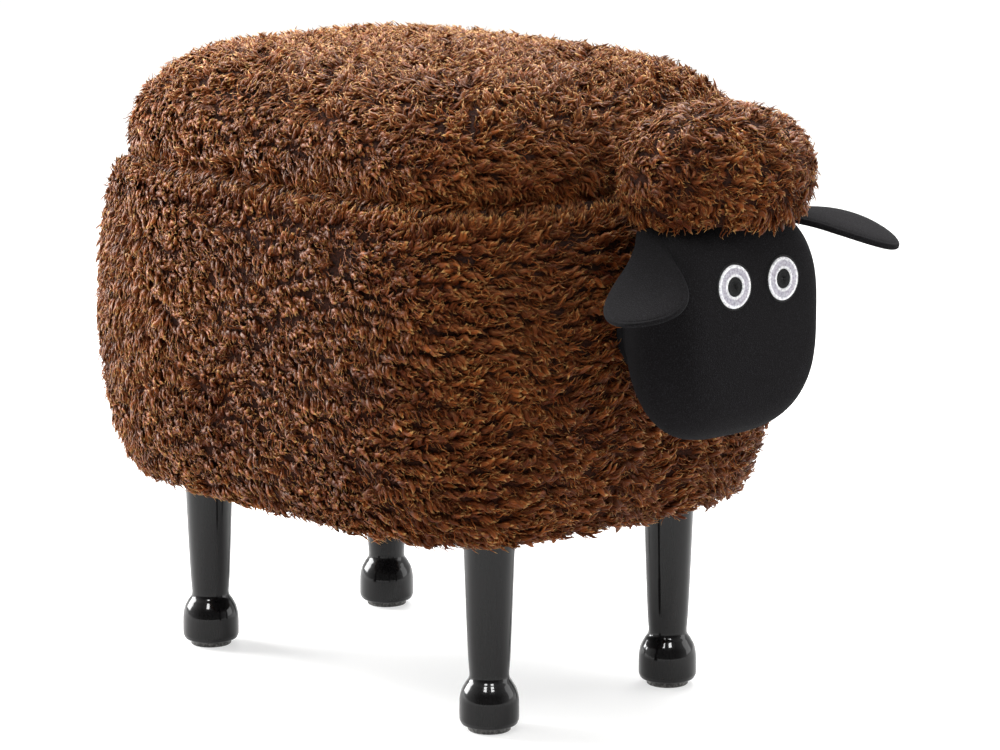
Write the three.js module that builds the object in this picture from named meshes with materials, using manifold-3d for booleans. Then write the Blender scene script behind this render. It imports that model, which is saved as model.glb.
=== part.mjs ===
// Sheep-shaped storage footstool: a fleece-covered box on four turned legs, with a padded
// lid hinged along one long side and a stuffed head at the front. Millimetres, +Z up,
// +X towards the head, origin on the floor under the middle of the whole stool.
import * as THREE from "three";
import { mergeVertices } from "three/addons/utils/BufferGeometryUtils.js";
import Module from "manifold-3d";

const wasm = await Module();
wasm.setup();

// Clearances
const seatGap = 0.3; // between two pieces that rest on each other
const screwClearance = 0.3; // round screws, bolts and pins in their holes
const overrun = 2; // how far a cutter runs past the face it cuts
const weldDistance = 1e-4; // points closer than this are one point

// Plan of the body, a rounded rectangle drawn as a superellipse
const bodyHalfLength = 232;
const bodyHalfWidth = 188;
const planPower = 4;
const planPoints = 36;

// Fleece cover and its rounded edges
const fleeceThickness = 12;
const foldThickness = 3.4; // pile pressed flat where the fleece is stapled over a board
const bottomRoundHeight = 120;
const bottomRoundInset = 31;
const hemReach = 47; // how far the hem turns in under the base
const hemThickness = 8.2;
const shoulderInset = 8.5;
const shoulderRoll = 16;
const foldReach = 60; // how far the fleece folds in over the rim

// Boards of the box
const baseThickness = 12;
const foamBaseThickness = 4.9; // foam between fleece and wall at the base, its thinnest place
const wallThickness = 5;
const wallHeight = 209;
const rimOuterInset = 30;
const rimWidth = 34;
const rimThickness = 15;
const liningThickness = 1.2;
const dustThickness = 1;

// Lid
const lidInset = 22;
const lidLowerInset = 28;
const lidLowerHeight = 14;
const lidBoardThickness = 12;
const lidHeight = 88.5;
const lidRoundWidth = 77;
const lidCrownRise = 7;
const crownShares = [0.7, 0.36];

// Legs
const legPlaceShares = [0.9267, 0.7102]; // along and across the room inside the hem
const legLength = 140.1;
const glideRadius = 15;
const glideThickness = 4;
const glideEdgeShare = 0.3;
const glidePinRadius = 2;
const glidePinLength = 10;
const footRadius = 20.8;
const footHeight = 31;
const ankleRadius = 14;
const legTopRadius = 18.5;
// radius and height on the foot
const footShares = [
  [0.87, 0],
  [0.97, 0.05],
  [1, 0.13],
  [1, 0.47],
  [0.98, 0.64],
  [0.91, 0.82],
];
// radius on its way from the ankle to the leg's top, and height on the foot's scale
const ankleShares = [
  [0.52, 0.97],
  [0, 1.1],
  [0.19, 1.63],
];
const legSides = 16;
const holeSides = 10;
const roundSides = 14;
const hexSides = 6;

// Leg bolts and their tee nuts
const legBoltRadius = 4;
const legBoltLength = 39;
const legBoltInLeg = 26;
const teeFlangeRadius = 11;
const teeFlangeThickness = 1.5;
const teeBarrelRadius = 5.2;
const teeBarrelLength = 7;

// Butt hinges
const hingeSpacing = 150;
const hingeLength = 50;
const hingeAxisInset = 21.7;
const leafWidth = 35.3;
const leafThickness = 1.5;
const leafSplit = 0.7; // between the two leaves of a shut hinge
const leafCornerRadius = 4;
const leafCornerSteps = 4;
const knuckleRadius = 3.5;
const knuckleCount = 5;
const hingePinRadius = 1.5;
const hingePocketGap = 0.8;
const hingeScrewSpacing = 36;
const hingeScrewInset = 22;
const hingeScrewRadius = 1.75;
const hingeScrewHeadRadius = 3.4;
const hingeScrewHeadHeight = 1.3;
const hingeScrewCover = 1.35; // board left over the tip of a screw in the lid
const hingeScrewTipShare = 0.3;

// Head
const headDepth = 90;
const headHalfWidth = 71;
const headHalfHeight = 78.5;
const headDrop = 61.8; // its middle below the rim board
const headRise = 4; // from neck to face
const headMiddleShare = 0.52; // where the head is fullest, from back to front
const headSectionPower = 3.2;
const headPoints = 24;
const headSkin = 2.5;
const headOpeningRadius = 26;
const headBoardThickness = 9;
const headBoardGap = 0.5; // between the board and the skin at the neck
const faceBulge = 3;
// depth from the body, width and height, from the neck to the face
const headSectionShares = [
  [0, 0.51, 0.48],
  [0.09, 0.59, 0.585],
  [0.18, 0.69, 0.69],
  [0.27, 0.78, 0.78],
  [0.38, 0.875, 0.875],
  [0.5, 0.955, 0.955],
  [0.63, 1, 1],
  [0.74, 0.99, 0.98],
  [0.83, 0.965, 0.925],
  [0.9, 0.93, 0.85],
  [0.96, 0.87, 0.735],
  [1, 0.76, 0.56],
];

// Head bolts
const headBoltSpacing = 34;
const headBoltRadius = 3;
const headBoltHeadRadius = 6;
const headBoltHeadHeight = 4;
const headWasherRadius = 9;
const headWasherThickness = 1.5;
const boltAccessGap = 1.5; // round a washer in the hole of the lining
const headTeeFlangeRadius = 9;
const headTeeBarrelRadius = 4.2;
const headTeeBarrelLength = 6;
const headBoltPastBoard = 1.2;

// Topknot
const topknotHalfLength = 61;
const topknotHalfWidth = 75;
const topknotRise = 73.1; // its top above the top of the head
const topknotHalfHeight = 51;
const topknotLead = 5.1; // its middle in front of the middle of the head
const topknotPower = 2.3;
// heights of its rings between its middle and its top or bottom
const topknotShares = [-0.72, -0.5, -0.22, 0.08, 0.36, 0.6, 0.79, 0.92];

// Ears
const earLength = 96;
const earHalfWidth = 28;
const earThickness = 9;
const earEdgeThickness = 2.4;
const earRootShares = [0.79, 0.87]; // side and height of the root on the head's section
const earMiddleShare = 0.6; // where the ear is thickest along its length
const earOutlinePoints = 26;
// distance along the ear and half width there
const earOutlineShares = [
  [0, 0.36],
  [0.14, 0.4],
  [0.3, 0.56],
  [0.46, 0.8],
  [0.62, 0.97],
  [0.76, 1],
  [0.88, 0.86],
  [0.96, 0.56],
];
const earPuffShares = [
  [1, 0],
  [0.84, 0.55],
  [0.55, 0.88],
];
// degrees of turn at the root, and how far the tip curls down
const rightEarSet = { droop: 39, sweep: 44, twist: -12, curl: -17.5 };
const leftEarSet = { droop: 5.5, sweep: 25.5, twist: 13, curl: 14.5 };

// Eyes
const eyeSpacing = 46;
const eyeRise = 33.1; // above the middle of the head
const eyeRadius = 14.5;
const pupilRadius = 6.3;
const eyeThickness = 1.2;

// Places worked out from the sizes above
const legBottom = glideThickness + seatGap;
const legTop = legBottom + legLength;
const dustBottom = legTop + seatGap;
const baseBottom = dustBottom + dustThickness + seatGap;
const baseTop = baseBottom + baseThickness;
const hemTop = baseBottom - seatGap;
const hemBottom = hemTop - hemThickness;
const wallTop = baseBottom + wallHeight;
const rimBottom = wallTop + seatGap;
const rimTop = rimBottom + rimThickness;
const foldBottom = rimTop + seatGap;
const seamLow = foldBottom + foldThickness;
const seamHigh = seamLow + seatGap;
const lidFoldTop = seamHigh + foldThickness;
const lidBoardBottom = lidFoldTop + seatGap;
const lidBoardTop = lidBoardBottom + lidBoardThickness;
const lidTop = seamHigh + lidHeight;
const lidSideHeight = seamHigh + lidLowerHeight;
const bottomRoundTop = hemBottom + bottomRoundHeight;
const rollBottom = seamLow - shoulderRoll;
const wallOuterInset = sideInset(baseBottom) + fleeceThickness + foamBaseThickness + seatGap * 2;
const wallInnerInset = wallOuterInset + wallThickness;
const rimInnerInset = rimOuterInset + rimWidth;
const hingeAxisHeight = (seamLow + seamHigh) / 2;
const hingeAxisSide = bodyHalfWidth - hingeAxisInset;
const headBack = bodyHalfLength + seatGap;
const headFront = headBack + headDepth;
const headMiddle = headBack + headDepth * headMiddleShare;
const neckShare = headSectionShares[0][1];
const headBoardRadius = Math.min(headHalfWidth, headHalfHeight) * neckShare - headSkin - headBoardGap;
const headCentreHeight = rimBottom - headDrop;
const topknotMiddle = headMiddle + topknotLead;
const topknotTopHeight = headCentreHeight + headHalfHeight + topknotRise;
const topknotMiddleHeight = topknotTopHeight - topknotHalfHeight;
const eyeHeight = headCentreHeight + eyeRise;

// Finishes
function finish(color, roughness, metalness = 0) {
  return new THREE.MeshStandardMaterial({ color, roughness, metalness });
}
const fleece = finish(0x6b3d22, 0.95);
const feltBlack = finish(0x232224, 0.9);
const lacquerBlack = finish(0x0d0d0e, 0.18);
const plywood = finish(0xc9a470, 0.7);
const hardboard = finish(0x7a5636, 0.75);
const foam = finish(0xe6dcb8, 0.95);
const liningBlack = finish(0x1d1d1f, 0.9);
const zincSteel = finish(0xb9bcc0, 0.35, 1);
const glideBlack = finish(0x1a1a1a, 0.5);
const wadding = finish(0xeeeeea, 1);
const threadWhite = finish(0xe9e8e6, 0.6);
const threadBlack = finish(0x141414, 0.55);

// Solids: closed geometry in, manifold solids for cutting and joining, geometry out
function solidOf(geometry) {
  const bare = geometry.index ? geometry.toNonIndexed() : geometry.clone();
  bare.deleteAttribute("normal");
  bare.deleteAttribute("uv");
  const merged = mergeVertices(bare, weldDistance);
  return new wasm.Manifold(
    new wasm.Mesh({
      numProp: 3,
      vertProperties: merged.attributes.position.array,
      triVerts: new Uint32Array(merged.index.array),
    }),
  );
}

function geometryOf(solid) {
  const mesh = solid.getMesh();
  const geometry = new THREE.BufferGeometry();
  geometry.setAttribute("position", new THREE.BufferAttribute(mesh.vertProperties, 3));
  geometry.setIndex(new THREE.BufferAttribute(mesh.triVerts, 1));
  geometry.computeVertexNormals();
  return geometry;
}

function cut(geometry, ...cutters) {
  const solid = cutters.reduce((left, cutter) => left.subtract(solidOf(cutter)), solidOf(geometry));
  return geometryOf(solid);
}

function join(...geometries) {
  const [first, ...others] = geometries.map(solidOf);
  return geometryOf(others.reduce((sum, other) => sum.add(other), first));
}

function common(first, second) {
  return geometryOf(solidOf(first).intersect(solidOf(second)));
}

function power(value, share) {
  return Math.sign(value) * Math.abs(value) ** share;
}

// A level loop of the body plan with the given half length and half width
function planLoop(halfLength, halfWidth, z) {
  return Array.from({ length: planPoints }, (_, i) => {
    const t = (i / planPoints) * 2 * Math.PI;
    const x = halfLength * power(Math.cos(t), 2 / planPower);
    const y = halfWidth * power(Math.sin(t), 2 / planPower);
    return new THREE.Vector3(x, y, z);
  });
}

function insetLoop([inset, z]) {
  return planLoop(bodyHalfLength - inset, bodyHalfWidth - inset, z);
}

// How far forward the faceted plan reaches at a distance to the side
function planReach(inset, side) {
  const loop = insetLoop([inset, 0]);
  const i = loop.findIndex((p) => p.y >= side);
  const [near, far] = [loop[i - 1], loop[i]];
  return near.x + ((far.x - near.x) * (side - near.y)) / (far.y - near.y);
}

// Joins loops of equal length into one closed surface: a ring when wrapped, or capped at both ends
function skin(loops, wrapped) {
  const count = loops[0].length;
  const points = loops.flat();
  const faces = [];
  const bands = wrapped ? loops.length : loops.length - 1;
  for (let k = 0; k < bands; k++) {
    const low = k * count;
    const high = ((k + 1) % loops.length) * count;
    for (let i = 0; i < count; i++) {
      const j = (i + 1) % count;
      faces.push(low + i, low + j, high + j, low + i, high + j, high + i);
    }
  }
  if (!wrapped) {
    const ends = [
      [0, true],
      [(loops.length - 1) * count, false],
    ];
    for (const [start, reversed] of ends) {
      const middle = new THREE.Vector3();
      points.slice(start, start + count).forEach((p) => middle.addScaledVector(p, 1 / count));
      const centre = points.push(middle) - 1;
      for (let i = 0; i < count; i++) {
        const j = (i + 1) % count;
        faces.push(centre, start + (reversed ? j : i), start + (reversed ? i : j));
      }
    }
  }
  const geometry = new THREE.BufferGeometry().setFromPoints(points);
  geometry.setIndex(faces);
  return geometry;
}

// A closed section, as [inset, height] corners, carried round the plan
function planRing(section) {
  return skin(section.map(insetLoop), true);
}

// A stack of plan loops closed with flat ends, as [inset, height] from low to high
function planStack(levels) {
  return skin(levels.map(insetLoop), false);
}

function lathe(profile, sides) {
  const points = profile.map(([radius, height]) => new THREE.Vector2(radius, height));
  return new THREE.LatheGeometry(points, sides).rotateX(Math.PI / 2);
}

function rod(radius, bottom, top, sides = roundSides) {
  const height = top - bottom;
  const geometry = new THREE.CylinderGeometry(radius, radius, height, sides);
  return geometry.rotateX(Math.PI / 2).translate(0, 0, (bottom + top) / 2);
}

// A rod along X between two places
function crossRod(radius, from, to, y, z, sides = roundSides) {
  return rod(radius, from, to, sides)
    .rotateY(Math.PI / 2)
    .translate(0, y, z);
}

function block(x0, x1, y0, y1, z0, z1) {
  const geometry = new THREE.BoxGeometry(x1 - x0, y1 - y0, z1 - z0);
  return geometry.translate((x0 + x1) / 2, (y0 + y1) / 2, (z0 + z1) / 2);
}

function mesh(name, geometry, material) {
  const made = new THREE.Mesh(geometry, material);
  made.name = name;
  return made;
}

// Quarter-ellipse of [inset, height] points from the side up to the top
function roundedEdge(inset, base, width, height, steps) {
  return Array.from({ length: steps + 1 }, (_, i) => {
    const angle = ((Math.PI / 2) * i) / steps;
    return [inset + width * (1 - Math.cos(angle)), base + height * Math.sin(angle)];
  });
}

// Inset of the fleece's outer face at a height: rounded under, nearly upright, drawn in to the shoulder
function sideInset(z) {
  if (z < bottomRoundTop) {
    const down = (bottomRoundTop - z) / bottomRoundHeight;
    return bottomRoundInset * (1 - Math.sqrt(Math.max(0, 1 - down * down)));
  }
  const up = (z - bottomRoundTop) / (rollBottom - bottomRoundTop);
  return shoulderInset * up * up;
}

function levelsBetween(low, high, shares) {
  return shares.map((share) => low + (high - low) * share);
}

// Body cover: hem turned in under the base, rounded sides, and a fold pressed over the rim
const bottomArcShares = [0.04, 0.15, 0.33, 0.6, 1];
const innerArcShares = [0, 0.2, 1];
const sideShares = [0.55, 1];
const rollInnerShares = [[0.3, 0.6]];
const rollSteps = 3;

function coverInnerSide(clearance) {
  const heights = [
    ...levelsBetween(hemTop, bottomRoundTop, innerArcShares),
    ...levelsBetween(bottomRoundTop, rollBottom, sideShares),
  ];
  const side = heights.map((z) => [sideInset(z) + fleeceThickness + clearance, z]);
  const inner = shoulderInset + fleeceThickness;
  const across = shoulderInset + shoulderRoll - inner;
  const roll = rollInnerShares.map(([acrossShare, upShare]) => [
    inner + across * acrossShare + clearance,
    rollBottom + (foldBottom - rollBottom) * upShare,
  ]);
  return [...side, ...roll];
}

function bodyCoverGeometry() {
  const bottomArc = levelsBetween(hemBottom, bottomRoundTop, bottomArcShares).map((z) => [sideInset(z), z]);
  const side = levelsBetween(bottomRoundTop, rollBottom, sideShares).map((z) => [sideInset(z), z]);
  const roll = roundedEdge(shoulderInset, rollBottom, shoulderRoll, shoulderRoll, rollSteps);
  const hem = [
    [hemReach, hemBottom],
    [bottomRoundInset, hemBottom],
  ];
  const outer = [...hem, ...bottomArc, ...side, ...roll.slice(1)];
  const foldStart = shoulderInset + shoulderRoll;
  const top = [
    [foldReach, seamLow],
    [foldReach, foldBottom],
    [foldStart, foldBottom],
  ];
  const inner = coverInnerSide(0).reverse();
  return planRing([...outer, ...top, ...inner, [hemReach, hemTop]]);
}

// Foam between the cover and the wall, stepped outwards under the rim board
function foamWrapGeometry() {
  const [, ...outer] = coverInnerSide(seatGap);
  const bottom = baseBottom;
  const top = rimTop;
  const wallSide = wallOuterInset - seatGap;
  const rimSide = rimOuterInset - seatGap;
  const outerTop = shoulderInset + shoulderRoll + seatGap;
  return planRing([
    [wallSide, bottom],
    [sideInset(bottom) + fleeceThickness + seatGap, bottom],
    ...outer,
    [outerTop, top],
    [rimSide, top],
    [rimSide, rimBottom - seatGap],
    [wallSide, rimBottom - seatGap],
  ]);
}

function wallShellGeometry() {
  return planRing([
    [wallInnerInset, baseBottom],
    [wallOuterInset, baseBottom],
    [wallOuterInset, wallTop],
    [wallInnerInset, wallTop],
  ]);
}

function rimRingGeometry() {
  return planRing([
    [rimInnerInset, rimBottom],
    [rimOuterInset, rimBottom],
    [rimOuterInset, rimTop],
    [rimInnerInset, rimTop],
  ]);
}

// Fabric lining: a floor, walls up to the rim board, then in under it and up its inner edge
function storageLiningGeometry() {
  const wallSide = wallInnerInset + seatGap;
  const rimSide = rimInnerInset + seatGap;
  const floor = baseTop + seatGap;
  const underRim = rimBottom - seatGap;
  return planStack([
    [wallSide, floor],
    [wallSide, underRim],
    [rimSide, underRim],
    [rimSide, rimTop],
    [rimSide + liningThickness, rimTop],
    [rimSide + liningThickness, underRim - liningThickness],
    [wallSide + liningThickness, underRim - liningThickness],
    [wallSide + liningThickness, floor + liningThickness],
  ]);
}

// Lid: section of the fleece over a board and foam, crowned in the middle
const lidSideTop = lidTop - lidCrownRise;
const lidRoundHeight = lidSideTop - lidSideHeight;
const lidRoundSteps = 5;
const lidTuckShares = [0.25, 0.45]; // where the lower edge starts to draw in

function crown(edgeInset, edgeHeight, rise) {
  const halfLength = bodyHalfLength - edgeInset;
  const halfWidth = bodyHalfWidth - edgeInset;
  return crownShares.map((share) =>
    planLoop(halfLength * share, halfWidth * share, edgeHeight + rise * (1 - share * share)),
  );
}

// The hollow side of the lid's fleece, from its upright part up to the crown
function lidInnerEdge() {
  const width = lidRoundWidth - fleeceThickness;
  const height = lidRoundHeight - fleeceThickness;
  return roundedEdge(lidInset + fleeceThickness, lidSideHeight, width, height, lidRoundSteps);
}

// A line of [inset, height] points cut off below a height
function startingAt(points, height) {
  const k = Math.max(1, points.findIndex(([, z]) => z > height));
  const [lowInset, low] = points[k - 1];
  const [highInset, high] = points[k];
  const share = Math.max(0, (height - low) / (high - low));
  return [[lowInset + (highInset - lowInset) * share, height], ...points.slice(k)];
}

function lidCoverGeometry() {
  const outer = roundedEdge(lidInset, lidSideHeight, lidRoundWidth, lidRoundHeight, lidRoundSteps);
  const [tuckShare, tuckHeightShare] = lidTuckShares;
  const lower = [
    lidInset + (lidLowerInset - lidInset) * tuckShare,
    seamHigh + lidLowerHeight * tuckHeightShare,
  ];
  const inner = lidInnerEdge();
  const edgeInset = lidInset + lidRoundWidth;
  const loops = [
    ...crown(edgeInset, lidSideTop - fleeceThickness, lidCrownRise).reverse(),
    ...inner.reverse().map(insetLoop),
    insetLoop([lidInset + fleeceThickness, lidFoldTop]),
    insetLoop([foldReach, lidFoldTop]),
    insetLoop([foldReach, seamHigh]),
    insetLoop([lidLowerInset, seamHigh]),
    insetLoop(lower),
    ...outer.map(insetLoop),
    ...crown(edgeInset, lidSideTop, lidCrownRise),
  ];
  return skin(loops, false);
}

function lidFoamGeometry() {
  const edge = lidInnerEdge().map(([inset, z]) => [inset + seatGap, z - seatGap]);
  const top = lidSideTop - fleeceThickness - seatGap;
  const loops = [
    ...startingAt(edge, lidBoardTop + seatGap).map(insetLoop),
    ...crown(lidInset + lidRoundWidth + seatGap, top, lidCrownRise),
  ];
  return skin(loops, false);
}

function lidBoardGeometry() {
  const inset = startingAt(lidInnerEdge(), lidBoardTop)[0][0] + seatGap;
  return planStack([
    [inset, lidBoardBottom],
    [inset, lidBoardTop],
  ]);
}

function lidLiningGeometry() {
  const inset = foldReach + seatGap;
  return planStack([
    [inset, lidFoldTop - liningThickness],
    [inset, lidFoldTop],
  ]);
}

// Legs
const legSetIn = hemReach + legTopRadius;
const [legAlongShare, legAcrossShare] = legPlaceShares;
const legPlaces = [
  ["front_left", 1, 1],
  ["front_right", 1, -1],
  ["rear_left", -1, 1],
  ["rear_right", -1, -1],
].map(([name, along, across]) => ({
  name,
  x: along * legAlongShare * (bodyHalfLength - legSetIn),
  y: across * legAcrossShare * (bodyHalfWidth - legSetIn),
}));

// Turned leg: rounded block foot with a shoulder, a narrow ankle and a long taper to the top
function legProfile() {
  const foot = (share) => legBottom + footHeight * share;
  const boltBore = legBoltRadius + screwClearance;
  const pinBore = glidePinRadius + screwClearance;
  const pinDepth = glideThickness + glidePinLength + seatGap;
  const boltDepth = legTop - legBoltInLeg - screwClearance;
  return [
    [0, pinDepth],
    [pinBore, pinDepth],
    [pinBore, legBottom],
    ...footShares.map(([radius, up]) => [footRadius * radius, foot(up)]),
    ...ankleShares.map(([taper, up]) => [ankleRadius + (legTopRadius - ankleRadius) * taper, foot(up)]),
    [legTopRadius, legTop],
    [boltBore, legTop],
    [boltBore, boltDepth],
    [0, boltDepth],
  ];
}

function glideProfile() {
  const edge = glideThickness * glideEdgeShare;
  return [
    [0, 0],
    [glideRadius - edge, 0],
    [glideRadius, edge],
    [glideRadius, glideThickness],
    [glidePinRadius, glideThickness],
    [glidePinRadius, glideThickness + glidePinLength],
    [0, glideThickness + glidePinLength],
  ];
}

const legBoltBottom = legTop - legBoltInLeg;
const legBoltTop = Math.min(legBoltBottom + legBoltLength, baseTop);

function teeNutProfile(flangeRadius, barrelRadius, barrelLength, bore) {
  return [
    [bore, -barrelLength],
    [barrelRadius, -barrelLength],
    [barrelRadius, 0],
    [flangeRadius, 0],
    [flangeRadius, teeFlangeThickness],
    [bore, teeFlangeThickness],
    [bore, -barrelLength],
  ];
}

function legTeeNutGeometry() {
  const bore = legBoltRadius + screwClearance;
  const profile = teeNutProfile(teeFlangeRadius, teeBarrelRadius, teeBarrelLength, bore);
  return lathe(profile, roundSides).translate(0, 0, baseTop - teeFlangeThickness);
}

// Room in the base panel for one tee nut let in flush, with the bolt hole below it
function legTeeNutRoom() {
  const seat = baseTop - teeFlangeThickness - screwClearance;
  const barrelEnd = baseTop - teeFlangeThickness - teeBarrelLength - screwClearance;
  const hole = legBoltRadius + screwClearance;
  return lathe(
    [
      [0, baseBottom - overrun],
      [hole, baseBottom - overrun],
      [hole, barrelEnd],
      [teeBarrelRadius + screwClearance, barrelEnd],
      [teeBarrelRadius + screwClearance, seat],
      [teeFlangeRadius + screwClearance, seat],
      [teeFlangeRadius + screwClearance, baseTop + overrun],
      [0, baseTop + overrun],
    ],
    roundSides,
  );
}

function basePanelGeometry() {
  const inset = wallInnerInset + seatGap;
  const panel = planStack([
    [inset, baseBottom],
    [inset, baseTop],
  ]);
  return cut(panel, ...legPlaces.map(({ x, y }) => legTeeNutRoom().translate(x, y, 0)));
}

function dustCoverGeometry() {
  const sheet = planStack([
    [hemReach + seatGap, dustBottom],
    [hemReach + seatGap, dustBottom + dustThickness],
  ]);
  const hole = rod(legBoltRadius + screwClearance, dustBottom - overrun, baseBottom + overrun);
  return cut(sheet, ...legPlaces.map(({ x, y }) => hole.clone().translate(x, y, 0)));
}

// Hinges
const hingePlaces = [
  ["front", hingeSpacing / 2],
  ["rear", -hingeSpacing / 2],
];
const bodyLeafTop = hingeAxisHeight - leafSplit / 2;
const lidLeafBottom = hingeAxisHeight + leafSplit / 2;
const hingeScrewSide = hingeAxisSide - hingeScrewInset;
const hingeScrewSeat = leafSplit / 2 + seatGap / 2; // from the pin's height to a screw's head
const hingeScrewLength = lidBoardTop - hingeAxisHeight - hingeScrewSeat - hingeScrewCover;
const hingeScrewOffsets = [-hingeScrewSpacing / 2, hingeScrewSpacing / 2];
const knuckleLength = hingeLength / knuckleCount;

// Countersunk screw pointing down from zero; grown by a clearance it is also its own hole
function hingeScrewProfile(clearance) {
  const tip = hingeScrewLength - hingeScrewRadius;
  return [
    [0, -hingeScrewLength - clearance],
    [hingeScrewRadius * hingeScrewTipShare + clearance, -hingeScrewLength - clearance],
    [hingeScrewRadius + clearance, -tip - clearance],
    [hingeScrewRadius + clearance, -hingeScrewHeadHeight - clearance],
    [hingeScrewHeadRadius + clearance, -clearance],
    [hingeScrewHeadRadius + clearance, clearance * 2],
    [0, clearance * 2],
  ];
}

function hingeScrew(upward, clearance) {
  const profile = hingeScrewProfile(clearance);
  const screw = lathe(clearance ? profile : [...profile.slice(0, 5), [0, 0]], holeSides);
  const head = hingeAxisHeight + (upward ? hingeScrewSeat : -hingeScrewSeat);
  return (upward ? screw.rotateX(Math.PI) : screw).translate(0, hingeScrewSide, head);
}

function hingeScrewHoles(upward) {
  return hingePlaces.flatMap(([, place]) =>
    hingeScrewOffsets.map((offset) => hingeScrew(upward, screwClearance).translate(place + offset, 0, 0)),
  );
}

function leafPlate() {
  const x = hingeLength / 2;
  const r = leafCornerRadius;
  const shape = new THREE.Shape();
  shape.moveTo(x, 0);
  shape.lineTo(-x, 0);
  shape.lineTo(-x, -leafWidth + r);
  shape.absarc(-x + r, -leafWidth + r, r, Math.PI, Math.PI * 1.5);
  shape.absarc(x - r, -leafWidth + r, r, Math.PI * 1.5, Math.PI * 2);
  shape.lineTo(x, 0);
  const settings = { depth: leafThickness, bevelEnabled: false, curveSegments: leafCornerSteps };
  return new THREE.ExtrudeGeometry(shape, settings);
}

// One hinge leaf: a plate with rolled knuckles at every other place along the pin
function hingeLeafGeometry(onLid) {
  const bottom = onLid ? lidLeafBottom : bodyLeafTop - leafThickness;
  const plate = leafPlate().translate(0, hingeAxisSide, bottom);
  const start = -hingeLength / 2;
  const rolled = [];
  const rooms = [];
  for (let k = 0; k < knuckleCount; k++) {
    const from = start + k * knuckleLength;
    const to = from + knuckleLength;
    if ((k % 2 === 1) === onLid) {
      const low = k === 0 ? from : from + seatGap / 2;
      const high = k === knuckleCount - 1 ? to : to - seatGap / 2;
      rolled.push(crossRod(knuckleRadius, low, high, hingeAxisSide, hingeAxisHeight));
    } else {
      const room = knuckleRadius + seatGap * 2;
      const low = k === 0 ? from - overrun : from - seatGap / 2;
      const high = k === knuckleCount - 1 ? to + overrun : to + seatGap / 2;
      rooms.push(crossRod(room, low, high, hingeAxisSide, hingeAxisHeight));
    }
  }
  const bore = crossRod(
    hingePinRadius + screwClearance,
    start - overrun,
    -start + overrun,
    hingeAxisSide,
    hingeAxisHeight,
  );
  const holes = hingeScrewOffsets.map((offset) => hingeScrew(onLid, screwClearance).translate(offset, 0, 0));
  return cut(join(plate, ...rolled), ...rooms, bore, ...holes);
}

// Room pressed into the fleece for the leaves and knuckles
function hingePockets(onLid) {
  const end = hingeLength / 2 + seatGap;
  const knuckleRoom = knuckleRadius + hingePocketGap;
  const plateEnd = hingeAxisSide - leafWidth - seatGap;
  const low = onLid ? seamHigh - overrun : bodyLeafTop - leafThickness - seatGap;
  const high = onLid ? lidLeafBottom + leafThickness + seatGap : seamLow + overrun;
  return hingePlaces.flatMap(([, place]) => [
    crossRod(knuckleRoom, -end, end, hingeAxisSide, hingeAxisHeight).translate(place, 0, 0),
    block(-end, end, plateEnd, hingeAxisSide, low, high).translate(place, 0, 0),
  ]);
}

// Head: sections from the neck, against the body, to the face
function headLoop(x, halfWidth, halfHeight, rise) {
  return Array.from({ length: headPoints }, (_, i) => {
    const t = (i / headPoints) * 2 * Math.PI;
    const y = halfWidth * power(Math.cos(t), 2 / headSectionPower);
    const z = halfHeight * power(Math.sin(t), 2 / headSectionPower);
    return new THREE.Vector3(x, y, headCentreHeight + rise + z);
  });
}

// The head's outer form, grown outwards by a distance, with its back at a given place
function headForm(grow, back = headBack) {
  const front = headFront + grow;
  const loops = headSectionShares.map(([along, wide, high]) => {
    const x = back + (front - back) * along;
    return headLoop(x, headHalfWidth * wide + grow, headHalfHeight * high + grow, headRise * along);
  });
  const form = skin(loops, false);
  const position = form.attributes.position;
  position.setX(position.count - 1, front + faceBulge);
  return form;
}

// The inside of the head skin, with its flat back face moved forward by the skin
const headInside = headBack + headSkin;
const headBoardBack = headInside + seatGap;
const headBoardFront = headBoardBack + headBoardThickness;
const headBoltSides = [
  ["left", headBoltSpacing / 2],
  ["right", -headBoltSpacing / 2],
];
const wallFront = planReach(wallInnerInset, headBoltSpacing / 2 + headWasherRadius);
const headWasherFront = wallFront - seatGap;
const headBoltShoulder = headWasherFront - headWasherThickness - seatGap;
const headTeeFlangeBack = headBoardFront + seatGap;

function alongX(profile, x, y, sides = roundSides) {
  return lathe(profile, sides)
    .rotateY(Math.PI / 2)
    .translate(x, y, headCentreHeight);
}

function headCoverGeometry() {
  const inside = headForm(-headSkin, headInside);
  const opening = crossRod(headOpeningRadius, headBack - overrun, headInside + overrun, 0, headCentreHeight);
  return cut(headForm(0), inside, opening);
}

function headBoardGeometry() {
  const board = crossRod(headBoardRadius, headBoardBack, headBoardFront, 0, headCentreHeight);
  return cut(board, ...headBoltSides.map(([, y]) => headTeeNutRoom(y)));
}

function headTeeNutRoom(y) {
  const hole = headBoltRadius + screwClearance;
  const barrelBack = headTeeFlangeBack - headTeeBarrelLength - screwClearance;
  return alongX(
    [
      [0, headBoardBack - overrun],
      [hole, headBoardBack - overrun],
      [hole, barrelBack],
      [headTeeBarrelRadius + screwClearance, barrelBack],
      [headTeeBarrelRadius + screwClearance, headBoardFront + overrun],
      [0, headBoardFront + overrun],
    ],
    0,
    y,
  );
}

function headTeeNutGeometry(y) {
  const bore = headBoltRadius + screwClearance;
  const profile = teeNutProfile(headTeeFlangeRadius, headTeeBarrelRadius, headTeeBarrelLength, bore);
  return alongX(profile, headTeeFlangeBack, y);
}

const headBoltEnd = headTeeFlangeBack + teeFlangeThickness + headBoltPastBoard;

function headBoltGeometry(y) {
  const head = crossRod(
    headBoltHeadRadius,
    headBoltShoulder - headBoltHeadHeight,
    headBoltShoulder,
    y,
    headCentreHeight,
    hexSides,
  );
  const start = headBoltShoulder - seatGap;
  return join(head, crossRod(headBoltRadius, start, headBoltEnd, y, headCentreHeight, holeSides));
}

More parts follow.
